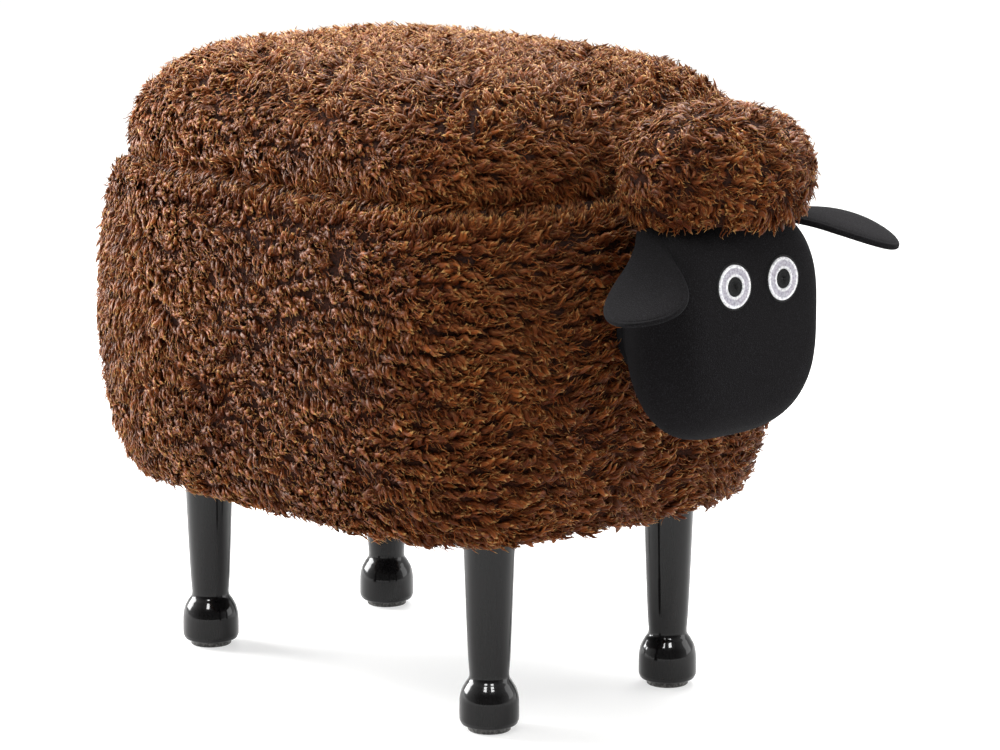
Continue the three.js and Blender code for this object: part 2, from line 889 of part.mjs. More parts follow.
function headWasherGeometry(y) {
  const hole = headBoltRadius + screwClearance;
  const back = headWasherFront - headWasherThickness;
  const disc = crossRod(headWasherRadius, back, headWasherFront, y, headCentreHeight);
  const front = headWasherFront + overrun;
  return cut(disc, crossRod(hole, back - overrun, front, y, headCentreHeight, holeSides));
}

// Holes for the head bolts through the wall, foam and fleece
function headBoltHoles() {
  const hole = headBoltRadius + screwClearance;
  return headBoltSides.map(([, y]) =>
    crossRod(hole, wallFront - overrun * 2, headBack + overrun, y, headCentreHeight, holeSides),
  );
}

function headBoltAccess() {
  const radius = headWasherRadius + boltAccessGap;
  const from = wallFront - liningThickness - overrun * 2;
  return headBoltSides.map(([, y]) =>
    crossRod(radius, from, wallFront + overrun, y, headCentreHeight),
  );
}

function headStuffingGeometry() {
  const filling = headForm(-headSkin - seatGap, headBoardBack);
  const boardRoom = crossRod(
    headBoardRadius + seatGap,
    headBoardBack - overrun,
    headBoardFront + seatGap,
    0,
    headCentreHeight,
  );
  const nutRooms = headBoltSides.map(([, y]) =>
    crossRod(
      headTeeFlangeRadius + seatGap,
      headBoardFront - overrun,
      headBoltEnd + seatGap,
      y,
      headCentreHeight,
    ),
  );
  return cut(filling, boardRoom, ...nutRooms);
}

// Topknot: a low dome of fleece that sits over the top of the head
function topknotForm(grow) {
  const loops = topknotShares.map((share) => {
    const size = (1 - Math.abs(share) ** topknotPower) ** (1 / topknotPower);
    const z = topknotMiddleHeight + (topknotHalfHeight + grow) * share;
    return Array.from({ length: headPoints }, (_, i) => {
      const t = (i / headPoints) * 2 * Math.PI;
      const x = topknotMiddle + (topknotHalfLength * size + grow) * Math.cos(t);
      return new THREE.Vector3(x, (topknotHalfWidth * size + grow) * Math.sin(t), z);
    });
  });
  const form = skin(loops, false);
  const position = form.attributes.position;
  position.setZ(position.count - 1, topknotTopHeight + grow);
  return form;
}

function topknotGeometry() {
  return cut(topknotForm(0), headForm(seatGap));
}

// Ear: a padded paddle with a thin seam edge, narrow at the root and curled along its length
function earForm(curl) {
  const side = earOutlineShares.map(([along, half]) => [earLength * along, earHalfWidth * half]);
  const outline = new THREE.SplineCurve([
    ...side.map(([along, half]) => new THREE.Vector2(half, along)),
    new THREE.Vector2(0, earLength),
    ...side.reverse().map(([along, half]) => new THREE.Vector2(-half, along)),
  ]).getPoints(earOutlinePoints);
  const middle = new THREE.Vector2(0, earLength * earMiddleShare);
  const loop = (share, height) =>
    outline.map((p) => {
      const x = p.x * share;
      const y = middle.y + (p.y - middle.y) * share;
      return new THREE.Vector3(x, y, height - curl * (y / earLength) ** 2);
    });
  const puff = (share) => earEdgeThickness / 2 + ((earThickness - earEdgeThickness) / 2) * share;
  const above = earPuffShares.map(([share, up]) => loop(share, puff(up)));
  const below = earPuffShares.map(([share, up]) => loop(share, -puff(up))).reverse();
  const form = skin([...below, ...above], false);
  const position = form.attributes.position;
  const middleHeight = -curl * earMiddleShare ** 2;
  position.setZ(position.count - 1, middleHeight + puff(1));
  position.setZ(position.count - 2, middleHeight - puff(1));
  return form;
}

function earGeometry(side, { droop, sweep, twist, curl }) {
  const form = earForm(curl);
  if (side < 0) form.rotateZ(Math.PI);
  form.rotateY(THREE.MathUtils.degToRad(twist));
  form.rotateX(-side * THREE.MathUtils.degToRad(droop));
  form.rotateZ(-side * THREE.MathUtils.degToRad(sweep));
  const [across, up] = earRootShares;
  form.translate(headMiddle, side * headHalfWidth * across, headCentreHeight + headHalfHeight * up);
  return cut(form, headForm(seatGap), topknotForm(seatGap));
}

// Eyes: raised embroidery that follows the face, a ring and a pupil inside it
function eyePatch(outerRadius, innerRadius, y) {
  const from = headMiddle;
  const to = headFront + faceBulge + overrun + eyeThickness;
  const disc = crossRod(outerRadius, from, to, y, eyeHeight);
  const stitched = common(disc, headForm(seatGap + eyeThickness));
  const cutters = [headForm(seatGap)];
  if (innerRadius) cutters.push(crossRod(innerRadius, from - overrun, to + overrun, y, eyeHeight));
  return cut(stitched, ...cutters);
}

// The stool put together
function lidGroup() {
  const group = new THREE.Group();
  const holes = hingeScrewHoles(true);
  group.add(
    mesh("lid_cover", cut(lidCoverGeometry(), ...hingePockets(true), ...holes), fleece),
    mesh("lid_foam", lidFoamGeometry(), foam),
    mesh("lid_board", cut(lidBoardGeometry(), ...holes), plywood),
    mesh("lid_lining", lidLiningGeometry(), liningBlack),
  );
  return group;
}

function boxGroup() {
  const group = new THREE.Group();
  const screwHoles = hingeScrewHoles(false);
  const boltHoles = headBoltHoles();
  const pockets = hingePockets(false);
  group.add(
    mesh("base_panel", basePanelGeometry(), plywood),
    mesh("wall_shell", cut(wallShellGeometry(), ...boltHoles), hardboard),
    mesh("rim_ring", cut(rimRingGeometry(), ...screwHoles), plywood),
    mesh("foam_wrap", cut(foamWrapGeometry(), ...boltHoles), foam),
    mesh("body_cover", cut(bodyCoverGeometry(), ...pockets, ...screwHoles, ...boltHoles), fleece),
    mesh("storage_lining", cut(storageLiningGeometry(), ...headBoltAccess()), liningBlack),
    mesh("dust_cover", dustCoverGeometry(), liningBlack),
  );
  return group;
}

function legGroup({ name, x, y }) {
  const group = new THREE.Group();
  group.position.set(x, y, 0);
  group.add(
    mesh("leg_" + name, lathe(legProfile(), legSides), lacquerBlack),
    mesh("glide_" + name, lathe(glideProfile(), legSides), glideBlack),
    mesh("leg_bolt_" + name, rod(legBoltRadius, legBoltBottom, legBoltTop, holeSides), zincSteel),
    mesh("tee_nut_" + name, legTeeNutGeometry(), zincSteel),
  );
  return group;
}

function hingeGroup([name, place]) {
  const group = new THREE.Group();
  const half = hingeLength / 2;
  group.position.set(place, 0, 0);
  group.add(
    mesh("hinge_body_leaf_" + name, hingeLeafGeometry(false), zincSteel),
    mesh("hinge_lid_leaf_" + name, hingeLeafGeometry(true), zincSteel),
    mesh(
      "hinge_pin_" + name,
      crossRod(hingePinRadius, -half, half, hingeAxisSide, hingeAxisHeight, holeSides),
      zincSteel,
    ),
  );
  hingeScrewOffsets.forEach((offset, i) => {
    for (const upward of [false, true]) {
      const screw = mesh(
        `hinge_${upward ? "lid" : "body"}_screw_${name}_${i + 1}`,
        hingeScrew(upward, 0),
        zincSteel,
      );
      screw.position.x = offset;
      group.add(screw);
    }
  });
  return group;
}

function headGroup() {
  const group = new THREE.Group();
  group.add(
    mesh("head_cover", headCoverGeometry(), feltBlack),
    mesh("head_stuffing", headStuffingGeometry(), wadding),
    mesh("head_board", headBoardGeometry(), plywood),
    mesh("topknot", topknotGeometry(), fleece),
    mesh("ear_right", earGeometry(-1, rightEarSet), feltBlack),
    mesh("ear_left", earGeometry(1, leftEarSet), feltBlack),
  );
  for (const [name, y] of headBoltSides) {
    group.add(
      mesh("head_bolt_" + name, headBoltGeometry(y), zincSteel),
      mesh("head_washer_" + name, headWasherGeometry(y), zincSteel),
      mesh("head_tee_nut_" + name, headTeeNutGeometry(y), zincSteel),
    );
    const eyeSide = (Math.sign(y) * eyeSpacing) / 2;
    group.add(
      mesh("eye_ring_" + name, eyePatch(eyeRadius, pupilRadius + seatGap, eyeSide), threadWhite),
      mesh("eye_pupil_" + name, eyePatch(pupilRadius, 0, eyeSide), threadBlack),
    );
  }
  return group;
}

const stool = new THREE.Group();
stool.add(boxGroup(), lidGroup(), headGroup());
legPlaces.forEach((place) => stool.add(legGroup(place)));
hingePlaces.forEach((place) => stool.add(hingeGroup(place)));

// The origin lies under the middle of the whole stool, from its rear to the tip of the forward ear
const reach = new THREE.Box3().setFromObject(stool, true);
stool.position.x = -(reach.min.x + reach.max.x) / 2;

const part = new THREE.Group();
part.add(stool);
export default part;
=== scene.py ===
# %% [markdown]
# # A sheep-shaped storage footstool
# This lesson dresses the built stool: a fleece-covered box on four black legs, a padded lid that
# opens on hinges, and a stuffed black head. The construction model is the fixed frame. Every piece
# here is made around it, in metres, and moves with one of its two bodies.

import math

import bmesh
import bpy
import numpy as np
from mathutils import Matrix, Quaternion, Vector
from mathutils.kdtree import KDTree


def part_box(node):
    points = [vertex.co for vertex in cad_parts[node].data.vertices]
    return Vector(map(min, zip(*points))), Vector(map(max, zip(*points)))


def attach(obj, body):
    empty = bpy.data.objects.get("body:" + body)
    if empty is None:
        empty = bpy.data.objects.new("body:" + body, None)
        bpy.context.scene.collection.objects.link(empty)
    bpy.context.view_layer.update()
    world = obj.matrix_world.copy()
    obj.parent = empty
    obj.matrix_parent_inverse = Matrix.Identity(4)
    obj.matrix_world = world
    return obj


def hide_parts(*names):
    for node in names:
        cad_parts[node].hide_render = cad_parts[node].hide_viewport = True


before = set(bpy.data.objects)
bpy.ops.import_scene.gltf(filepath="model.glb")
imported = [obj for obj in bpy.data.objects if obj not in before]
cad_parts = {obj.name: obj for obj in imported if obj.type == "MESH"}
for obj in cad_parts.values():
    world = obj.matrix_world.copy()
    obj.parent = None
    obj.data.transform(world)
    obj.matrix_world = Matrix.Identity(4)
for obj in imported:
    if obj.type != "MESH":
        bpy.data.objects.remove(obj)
scene = bpy.context.scene
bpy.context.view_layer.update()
MM = 0.001
BOX = "stool_body"
LID = "lid"

# %% [markdown]
# ## Where things are
# The box is drawn round one plan, a rectangle with full, soft corners. A superellipse of power 4
# gives that outline with two sizes only, where arcs and straights would need more and meet less
# softly. Its length, width and heights are read from the frame, so that the two models agree.


# %% Sizes of the box and the lid
def box_mm(node):
    low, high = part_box(node)
    return np.array(low) / MM, np.array(high) / MM


body_low, body_high = box_mm("body_cover")
lid_low, lid_high = box_mm("lid_cover")
head_low, head_high = box_mm("head_cover")
MIDDLE_X = (body_low[0] + body_high[0]) / 2
BOX_MIDDLE = (MIDDLE_X, 0.0)
HALF_LENGTH = (body_high[0] - body_low[0]) / 2
HALF_WIDTH = (body_high[1] - body_low[1]) / 2
PLAN_POWER = 4.0
print(f"box {2 * HALF_LENGTH:.0f} x {2 * HALF_WIDTH:.0f} mm, middle at x {MIDDLE_X:.1f} mm")

# %% [markdown]
# ## The camera
# A long lens from the front right, a little above the stool. Its turn and height were found by
# laying the model over the photograph, and the view is moved sideways by sliding the camera in its
# own plane, so that the lens itself needs no shift.

# %% Camera
CAMERA_TURN = math.radians(47.45)
CAMERA_RISE = math.radians(11.52)
CAMERA_DISTANCE = 3.0
CAMERA_RIGHT = 0.04766
CAMERA_UP = 0.21124
LENS_MM = 146.88
SENSOR_MM = 36

away = Vector(
    (
        math.sin(CAMERA_TURN) * math.cos(CAMERA_RISE),
        -math.cos(CAMERA_TURN) * math.cos(CAMERA_RISE),
        math.sin(CAMERA_RISE),
    )
)
right = Vector((math.cos(CAMERA_TURN), math.sin(CAMERA_TURN), 0))
up = away.cross(right)
camera = bpy.data.objects.new("camera", bpy.data.cameras.new("camera"))
scene.collection.objects.link(camera)
camera.data.lens = LENS_MM
camera.data.sensor_width = SENSOR_MM
camera.location = (
    away * CAMERA_DISTANCE + right * CAMERA_RIGHT + up * CAMERA_UP + Vector((MIDDLE_X * MM, 0, 0))
)
camera.rotation_euler = away.to_track_quat("Z", "Y").to_euler()
scene.camera = camera
print("camera at", [round(c, 3) for c in camera.location])

# %% [markdown]
# ## Two helpers for materials
# Colours are written as sRGB hex, the way a paint card gives them, and one function turns them to
# the linear numbers that the renderer counts with. Another adds a node with its settings and links.


# %% Colour and node helpers
def linear(hex_colour):
    channels = [int(hex_colour[i : i + 2], 16) / 255 for i in (1, 3, 5)]
    return [c / 12.92 if c <= 0.04045 else ((c + 0.055) / 1.055) ** 2.4 for c in channels] + [1.0]


def add_node(tree, kind, values=None, links=None, stops=None, to=None, **settings):
    """A node with its settings, values, links in, colour stops and the sockets it feeds."""
    node = tree.nodes.new(kind)
    for name, value in settings.items():
        setattr(node, name, value)
    for socket, value in (values or {}).items():
        node.inputs[socket].default_value = value
    for socket, source in (links or {}).items():
        tree.links.new(source, node.inputs[socket])
    for k, (place, hex_colour) in enumerate(stops or []):
        elements = node.color_ramp.elements
        stop = elements[k] if k < 2 else elements.new(place)
        stop.position, stop.color = place, linear(hex_colour)
    for output, socket in (to or {}).items():
        tree.links.new(node.outputs[output], socket)
    return node


def new_material(name, **surface):
    """A material with a Principled surface, its constants set on the shader's own sockets."""
    made = bpy.data.materials.new(name)
    made.use_nodes = True
    shader = made.node_tree.nodes["Principled BSDF"]
    for socket, value in surface.items():
        shader.inputs[socket.replace("_", " ")].default_value = value
    return made, made.node_tree, shader


print("helpers ready")

# %% [markdown]
# ## Curly fleece
# The cover is acrylic sherpa fleece: a knitted backing with curled locks of crimped fibre. Each lock
# is painted dark at the root, a painted shade for the dense pile there, and pale gold at the tip, a
# painted light for where light gets through. The fibres lie side by side along it, so their pattern
# is drawn on each lock's own two directions, which no pattern in space could follow. The gloss of
# acrylic is tinted here, because most of it comes from within the fibres.

# %% Fleece materials
# colours from root to tip: the dark roots are painted shade, and the pale gold tips painted light
DARK_LOCK = [(0, "#120401"), (0.3, "#2A0B05"), (0.75, "#40120A"), (1, "#521D0F")]
PALE_LOCK = [(0, "#200A04"), (0.3, "#541F0D"), (0.75, "#8E4B21"), (1, "#E4BC76")]
FIBRE_MM, FIBRE_RELIEF_MM = 0.55, 0.5
CRIMP_MM = 7.0
# how far the fibres change a lock's paleness, and how far apart two locks lie in the pattern
FIBRE_CONTRAST, FIBRE_SHIFT = 0.75, -0.38
SEED_STEP = 97.0
# one knitted loop of the backing
LOOP_MM, LOOP_RELIEF_MM = 2.0, 0.6


def fleece_lock_material():
    made, tree, shader = new_material(
        "sherpa_fleece_crimped",
        Roughness=0.45,
        Specular_IOR_Level=0.28,
        Specular_Tint=linear("#F2B474"),
        Sheen_Weight=0.12,
        Sheen_Roughness=0.3,
        Sheen_Tint=linear("#D49C58"),
    )
    along, beside, tone, seed = (
        add_node(tree, "ShaderNodeAttribute", attribute_name=name).outputs["Fac"]
        for name in ("along", "beside", "tone", "seed")
    )
    place = add_node(tree, "ShaderNodeCombineXYZ", links={"X": beside, "Y": along, "Z": seed})
    laid = add_node(
        tree,
        "ShaderNodeMapping",
        values={"Scale": (1 / FIBRE_MM, 1 / CRIMP_MM, SEED_STEP)},
        links={"Vector": place.outputs["Vector"]},
    )
    fibres = add_node(
        tree,
        "ShaderNodeTexNoise",
        values={"Scale": 1.0, "Detail": 2.0},
        links={"Vector": laid.outputs["Vector"]},
    ).outputs["Fac"]
    share = add_node(
        tree,
        "ShaderNodeMath",
        operation="MULTIPLY_ADD",
        values={1: FIBRE_CONTRAST, 2: FIBRE_SHIFT},
        links={0: fibres},
    )
    paleness = add_node(
        tree,
        "ShaderNodeMath",
        operation="ADD",
        use_clamp=True,
        links={0: tone, 1: share.outputs["Value"]},
    )
    tip = add_node(tree, "ShaderNodeAttribute", attribute_name="tip").outputs["Fac"]
    dark = add_node(tree, "ShaderNodeValToRGB", links={"Fac": tip}, stops=DARK_LOCK).outputs["Color"]
    pale = add_node(tree, "ShaderNodeValToRGB", links={"Fac": tip}, stops=PALE_LOCK).outputs["Color"]
    add_node(
        tree,
        "ShaderNodeMix",
        data_type="RGBA",
        links={"Factor": paleness.outputs["Value"], "A": dark, "B": pale},
        to={"Result": shader.inputs["Base Color"]},
    )
    add_node(
        tree,
        "ShaderNodeBump",
        values={"Distance": FIBRE_RELIEF_MM * MM},
        links={"Height": fibres},
        to={"Normal": shader.inputs["Normal"]},
    )
    return made


def fleece_backing_material():
    made, tree, shader = new_material("fleece_knitted_backing", Roughness=0.95, Specular_IOR_Level=0.1)
    place = add_node(tree, "ShaderNodeTexCoord").outputs["Object"]
    loops = add_node(
        tree, "ShaderNodeTexVoronoi", values={"Scale": 1 / (LOOP_MM * MM)}, links={"Vector": place}
    )
    add_node(
        tree,
        "ShaderNodeValToRGB",
        links={"Fac": loops.outputs["Distance"]},
        stops=[(0, "#3B1D11"), (0.8, "#1F0E08")],
        to={"Color": shader.inputs["Base Color"]},
    )
    add_node(
        tree,
        "ShaderNodeBump",
        values={"Distance": LOOP_RELIEF_MM * MM},
        links={"Height": loops.outputs["Distance"]},
        to={"Normal": shader.inputs["Normal"]},
    )
    return made


fleece_locks = fleece_lock_material()
fleece_backing = fleece_backing_material()
print("materials:", fleece_locks.name, fleece_backing.name)

# %% [markdown]
# ## Meshes from numbers
# Sewn and stuffed forms have no flat faces, so each is made as a surface of loops: a ring of points,
# moved along a section. Sculpting could give the same forms, but not twice alike, nor to a size. One
# helper skins such loops into a closed mesh, and one turns number arrays into a Blender object.


# %% Mesh helpers
def make_object(name, points_mm, faces, material, smooth=True):
    mesh = bpy.data.meshes.new(name)
    mesh.from_pydata((np.asarray(points_mm) * MM).tolist(), [], faces)
    mesh.polygons.foreach_set("use_smooth", [smooth] * len(mesh.polygons))
    mesh.update()
    made = bpy.data.objects.new(name, mesh)
    scene.collection.objects.link(made)
    mesh.materials.append(material)
    return made


def skin(loops, wrapped=False):
    """Points and faces of a closed surface through loops with equally many points."""
    count, points = len(loops[0]), [p for loop in loops for p in loop]
    faces = []
    for k in range(len(loops) if wrapped else len(loops) - 1):
        low, high = k * count, ((k + 1) % len(loops)) * count
        for i in range(count):
            j = (i + 1) % count
            faces.append((low + i, low + j, high + j, high + i))
    if not wrapped:
        for start, flip in ((0, True), ((len(loops) - 1) * count, False)):
            points.append(np.mean(points[start : start + count], axis=0))
            centre = len(points) - 1
            for i in range(count):
                j = (i + 1) % count
                faces.append((centre, start + j, start + i) if flip else (centre, start + i, start + j))
    return points, faces


def plan_radius(angle, half_length, half_width, power):
    along = np.abs(np.cos(angle) / half_length) ** power
    return (along + np.abs(np.sin(angle) / half_width) ** power) ** (-1 / power)


TABLE_ANGLES = np.linspace(0, 2 * math.pi, 1441)


def even_angles(half_length, half_width, power, shares):
    """Angles whose points cut the loop's length into the given shares, and that length."""
    r = plan_radius(TABLE_ANGLES, half_length, half_width, power)
    x, y = r * np.cos(TABLE_ANGLES), r * np.sin(TABLE_ANGLES)
    run = np.concatenate([[0], np.cumsum(np.hypot(np.diff(x), np.diff(y)))])
    return np.interp(np.asarray(shares) % 1.0 * run[-1], run, TABLE_ANGLES), run[-1]


def plan_points(angle, half_length, half_width, z, power, middle):
    r = plan_radius(angle, half_length, half_width, power)
    return np.stack([middle[0] + r * np.cos(angle), middle[1] + r * np.sin(angle), z + 0 * r], -1)


print("mesh helpers ready")

# %% [markdown]
# ## The section of box and lid
# The cover is rounded under like a loaf, stands nearly upright, draws in to a shoulder and folds
# over the rim. The lid is a pillow edge that ends in a slightly crowned top. Both are written as
# one path of (half length, half width, height), to be carried round the plan.

# %% Sections
BOTTOM_ROUND_HEIGHT, BOTTOM_ROUND_INSET, HEM_REACH, HEM_SPACING = 120.0, 31.0, 47.0, 3
SHOULDER_INSET, SHOULDER_ROLL, FOLD_REACH = 8.5, 16.0, 60.0
LID_INSET, LID_LOWER_INSET, LID_LOWER_HEIGHT, LID_FOLD_GAP = 22.0, 28.0, 14.0, 2.0
LID_ROUND_WIDTH, LID_CROWN_RISE = 77.0, 7.0


def box_section():
    """(inset, height) from the hem under the base, up the side and over the rim."""
    low, high = body_low[2], body_high[2]
    round_top, roll_bottom = low + BOTTOM_ROUND_HEIGHT, high - SHOULDER_ROLL
    hem = [(HEM_REACH - k, low) for k in range(0, int(HEM_REACH - BOTTOM_ROUND_INSET), HEM_SPACING)]
    angle = np.linspace(0, math.pi / 2, 26)
    arc = [
        (BOTTOM_ROUND_INSET * (1 - math.sin(a)), round_top - BOTTOM_ROUND_HEIGHT * math.cos(a))
        for a in angle
    ]
    rise = np.linspace(0, 1, 22)[1:]
    side = [(SHOULDER_INSET * t * t, round_top + (roll_bottom - round_top) * t) for t in rise]
    turn = np.linspace(0, math.pi / 2, 9)[1:]
    roll = [
        (SHOULDER_INSET + SHOULDER_ROLL * (1 - math.cos(a)), roll_bottom + SHOULDER_ROLL * math.sin(a))
        for a in turn
    ]
    fold = [(inset, high) for inset in np.linspace(roll[-1][0], FOLD_REACH, 10)[1:]]
    return hem + arc + side + roll + fold


def lid_section():
    """(inset, height) from the fold under the lid, round its edge and in over the top."""
    low, high = lid_low[2], lid_high[2]
    side_top = high - LID_CROWN_RISE
    side_low = low + LID_LOWER_HEIGHT
    fold = [(inset, low) for inset in np.linspace(FOLD_REACH, LID_LOWER_INSET + LID_FOLD_GAP, 10)]
    tuck = [
        (LID_INSET + (LID_LOWER_INSET - LID_INSET) * (1 - t) ** 2, low + LID_LOWER_HEIGHT * t)
        for t in np.linspace(0.05, 1, 6)
    ]
    turn = np.linspace(0, math.pi / 2, 26)[1:]
    edge = [
        (LID_INSET + LID_ROUND_WIDTH * (1 - math.cos(a)), side_low + (side_top - side_low) * math.sin(a))
        for a in turn
    ]
    return fold + tuck + edge


def smooth_crown(edge_inset, edge_height, rise, shares):
    """(half length, half width, height) from the edge of the top in to its middle."""
    long, wide = HALF_LENGTH - edge_inset, HALF_WIDTH - edge_inset
    return [(long * s, wide * s, edge_height + rise * (1 - s * s)) for s in shares]


def as_path(section):
    return [(HALF_LENGTH - inset, HALF_WIDTH - inset, z) for inset, z in section]


box_path = np.array(as_path(box_section()))
crown = smooth_crown(
    LID_INSET + LID_ROUND_WIDTH,
    lid_high[2] - LID_CROWN_RISE,
    LID_CROWN_RISE,
    np.linspace(0.97, 0.02, 30),
)
lid_path = np.array(as_path(lid_section()) + crown)
print("sections:", len(box_path), "and", len(lid_path), "places")

# %% [markdown]
# ## A place on the surface
# Locks grow all over the cloth at an even distance. A particle system would scatter them, but with
# no say in how each lies, so they are planted by code. The path is cut into rows by its own length,
# and each row into even steps. At each place the surface gives three directions: out of the cloth,
# round the stool, and up along the section. A small step each way, and their cross product, finds
# them for any such surface.


# %% Rows of places
class Places:
    """Roots for locks: points, outward directions, directions round and up, and heights on the path."""

    def __init__(self, parts):
        stack = [np.concatenate(column) for column in zip(*parts)]
        self.point, self.out, self.round, self.up, self.run = stack

    def only(self, keep):
        kept = object.__new__(Places)
        for name in ("point", "out", "round", "up", "run"):
            setattr(kept, name, getattr(self, name)[keep])
        return kept

    def __len__(self):
        return len(self.point)


def unit(vectors):
    return vectors / np.maximum(np.linalg.norm(vectors, axis=-1, keepdims=True), 1e-9)


def path_run(path):
    steps = np.hypot(np.diff(path[:, 0]), np.diff(path[:, 2]))
    return np.concatenate([[0], np.cumsum(steps)])


JITTER_SHARE = 0.42
RUN_STEP, ANGLE_STEP = 0.5, 1e-3
PATH_MARGIN = 0.01


def plant(path, spacing, rng, power=PLAN_POWER, middle=BOX_MIDDLE):
    """Places about a spacing apart all over a surface, each moved a little at random."""
    run = path_run(path)
    parts = []
    for row in np.arange(spacing / 2, run[-1], spacing):
        half_length = np.interp(row, run, path[:, 0])
        half_width = np.interp(row, run, path[:, 1])
        _, length = even_angles(half_length, half_width, power, [0])
        count = max(3, int(round(length / spacing)))
        shares = (np.arange(count) + rng.random() + JITTER_SHARE * rng.uniform(-1, 1, count)) / count
        angle, _ = even_angles(half_length, half_width, power, shares)
        at = row + JITTER_SHARE * spacing * rng.uniform(-1, 1, count)
        at = np.clip(at, PATH_MARGIN, run[-1] - PATH_MARGIN)
        parts.append(surface_frame(path, run, at, angle, power, middle))
    return Places(parts)


def surface_frame(path, run, at, angle, power, middle):
    def point(where, turned):
        a, b, z = (np.interp(where, run, path[:, k]) for k in range(3))
        return plan_points(turned, a, b, z, power, middle)

    across = unit(point(at, angle + ANGLE_STEP) - point(at, angle - ANGLE_STEP))
    above, below = np.minimum(at + RUN_STEP, run[-1]), np.maximum(at - RUN_STEP, 0)
    out = unit(np.cross(across, point(above, angle) - point(below, angle)))
    return point(at, angle), out, across, np.cross(out, across), at


print("planting ready")

# %% [markdown]
# ## One lock of fleece
# A lock is a bundle of crimped fibres that cling together. It leaves the backing at a steep angle,
# lies over, waves from side to side and tapers to a point. Single hairs would be too many for a mesh
# that has to be kept whole, so the bundle is what is made. Broad locks are flat curved tubes with
# five points round, and carry the pattern of fibres. Thin ones are three-sided strands that came
# loose, and they catch the light.

# %% Locks
BROAD = dict(
    widths=(0.75, 1.0, 1.0, 0.85, 0.52), across=(1, 0.55, 0, -0.55, -1), heights=(0, 0.6, 0.8, 0.6, 0)
)
THIN = dict(widths=(0.6, 0.95, 1.0, 0.9, 0.62), across=(1, 0, -1), heights=(0, 1.4, 0))
WAVES = 1.15
LIFT_POWER = 1.3
ROOT_DEPTH = 0.8


def lock_faces(kind, count):
    """Faces of all locks, as one flat list of corners and the corner counts."""
    rings, sides = len(kind["widths"]), len(kind["across"])
    turn = [(a, (a + 1) % sides) for a in range(sides)]
    faces = [
        (j * sides + a, j * sides + b, (j + 1) * sides + b, (j + 1) * sides + a)
        for j in range(rings - 1)
        for a, b in turn
    ]
    last, tip = (rings - 1) * sides, rings * sides
    faces += [(last + a, last + b, tip) for a, b in turn] + [tuple(range(sides))[::-1]]
    corners = np.array([v for face in faces for v in face])
    sizes = np.array([len(face) for face in faces])
    all_corners = (corners[None, :] + (tip + 1) * np.arange(count)[:, None]).ravel()
    return all_corners, np.tile(sizes, count)


def lock_points(kind, places, heading, length, width, start_rise, end_rise, wave, phase, curl, roll):
    """Points of all locks, (count, points, 3). Angles are in radians, sizes in mm."""
    toward = np.cos(heading)[:, None] * places.round + np.sin(heading)[:, None] * places.up
    beside = np.cross(places.out, toward)
    here = places.point - places.out * ROOT_DEPTH
    tilt, level = np.sin(roll)[:, None], np.cos(roll)[:, None]
    rings = len(kind["widths"])
    points = []
    for j, share in enumerate(kind["widths"]):
        q = j / rings
        turn = (wave * np.sin(2 * math.pi * WAVES * q + phase) + curl * q)[:, None]
        lift = (start_rise * (1 - q) ** LIFT_POWER + end_rise * q)[:, None]
        flat = np.cos(turn) * toward + np.sin(turn) * beside
        direction = np.cos(lift) * flat + np.sin(lift) * places.out
        across = unit(np.cross(places.out, direction))
        top = np.cross(direction, across)
        across, top = across * level + top * tilt, top * level - across * tilt
        half = (width * share / 2)[:, None]
        for side, height in zip(kind["across"], kind["heights"]):
            points.append(here + across * half * side + top * half * height)
        here = here + direction * (length / rings)[:, None]
    return np.stack(points + [here], 1)


def make_locks(name, kind, points, values, material):
    """One object of many locks. Values are given per lock, and shared by its points."""
    count, each = points.shape[:2]
    corners, sizes = lock_faces(kind, count)
    mesh = bpy.data.meshes.new(name)
    mesh.vertices.add(count * each)
    mesh.vertices.foreach_set("co", (points * MM).astype(np.float32).ravel())
    mesh.loops.add(len(corners))
    mesh.loops.foreach_set("vertex_index", corners.astype(np.int32))
    mesh.polygons.add(len(sizes))
    mesh.polygons.foreach_set("loop_start", (np.cumsum(sizes) - sizes).astype(np.int32))
    mesh.polygons.foreach_set("use_smooth", np.ones(len(sizes), bool))
    mesh.update(calc_edges=True)
    rings, sides = len(kind["widths"]), len(kind["across"])
    tip = np.append(np.repeat(np.arange(rings) / rings, sides), 1.0)
    share = np.append(np.outer(kind["widths"], kind["across"]).ravel(), 0.0)
    layers = {
        "tip": np.tile(tip, count),
        "along": np.outer(values["length"], tip).ravel(),
        "beside": np.outer(values["width"] / 2, share).ravel(),
        "tone": np.repeat(values["tone"], each),
        "seed": np.repeat(values["seed"], each),
    }
    for attribute, numbers in layers.items():
        layer = mesh.attributes.new(attribute, "FLOAT", "POINT")
        layer.data.foreach_set("value", numbers.astype(np.float32))
    made = bpy.data.objects.new(name, mesh)
    scene.collection.objects.link(made)
    mesh.materials.append(material)
    return made


print("locks ready")

# %% [markdown]
# ## Tufts
# Locks don't grow alone: they gather in tufts about a centimetre wide. The locks of a tuft share a
# direction and a curl, lean towards its middle, and stand highest there, which leaves dark hollows
# between tufts; the locks low in them are painted darker as well, a painted shade. On the sides the
# tufts are wider than high, because the pile was combed level. The tufts are planted like the locks,
# only further apart, and each lock takes after the nearest one.


# %% Tufts
def slow_noise(point, size, seed):
    """Smooth values, mostly from -1 to 1, over space, from a few crossed sine waves."""
    rng = np.random.default_rng(seed)
    total = np.zeros(len(point))
    for _ in range(6):
        direction = rng.normal(0, 1, 3)
        direction /= np.linalg.norm(direction)
        wave_length = size * rng.uniform(0.7, 1.4)
        total += np.sin(point @ direction * 2 * math.pi / wave_length + rng.uniform(0, 6.28))
    return total / 3


def ease(value, low, high):
    t = np.clip((value - low) / (high - low), 0, 1)
    return t * t * (3 - 2 * t)


def between(start, end, share):
    return start + (end - start) * share


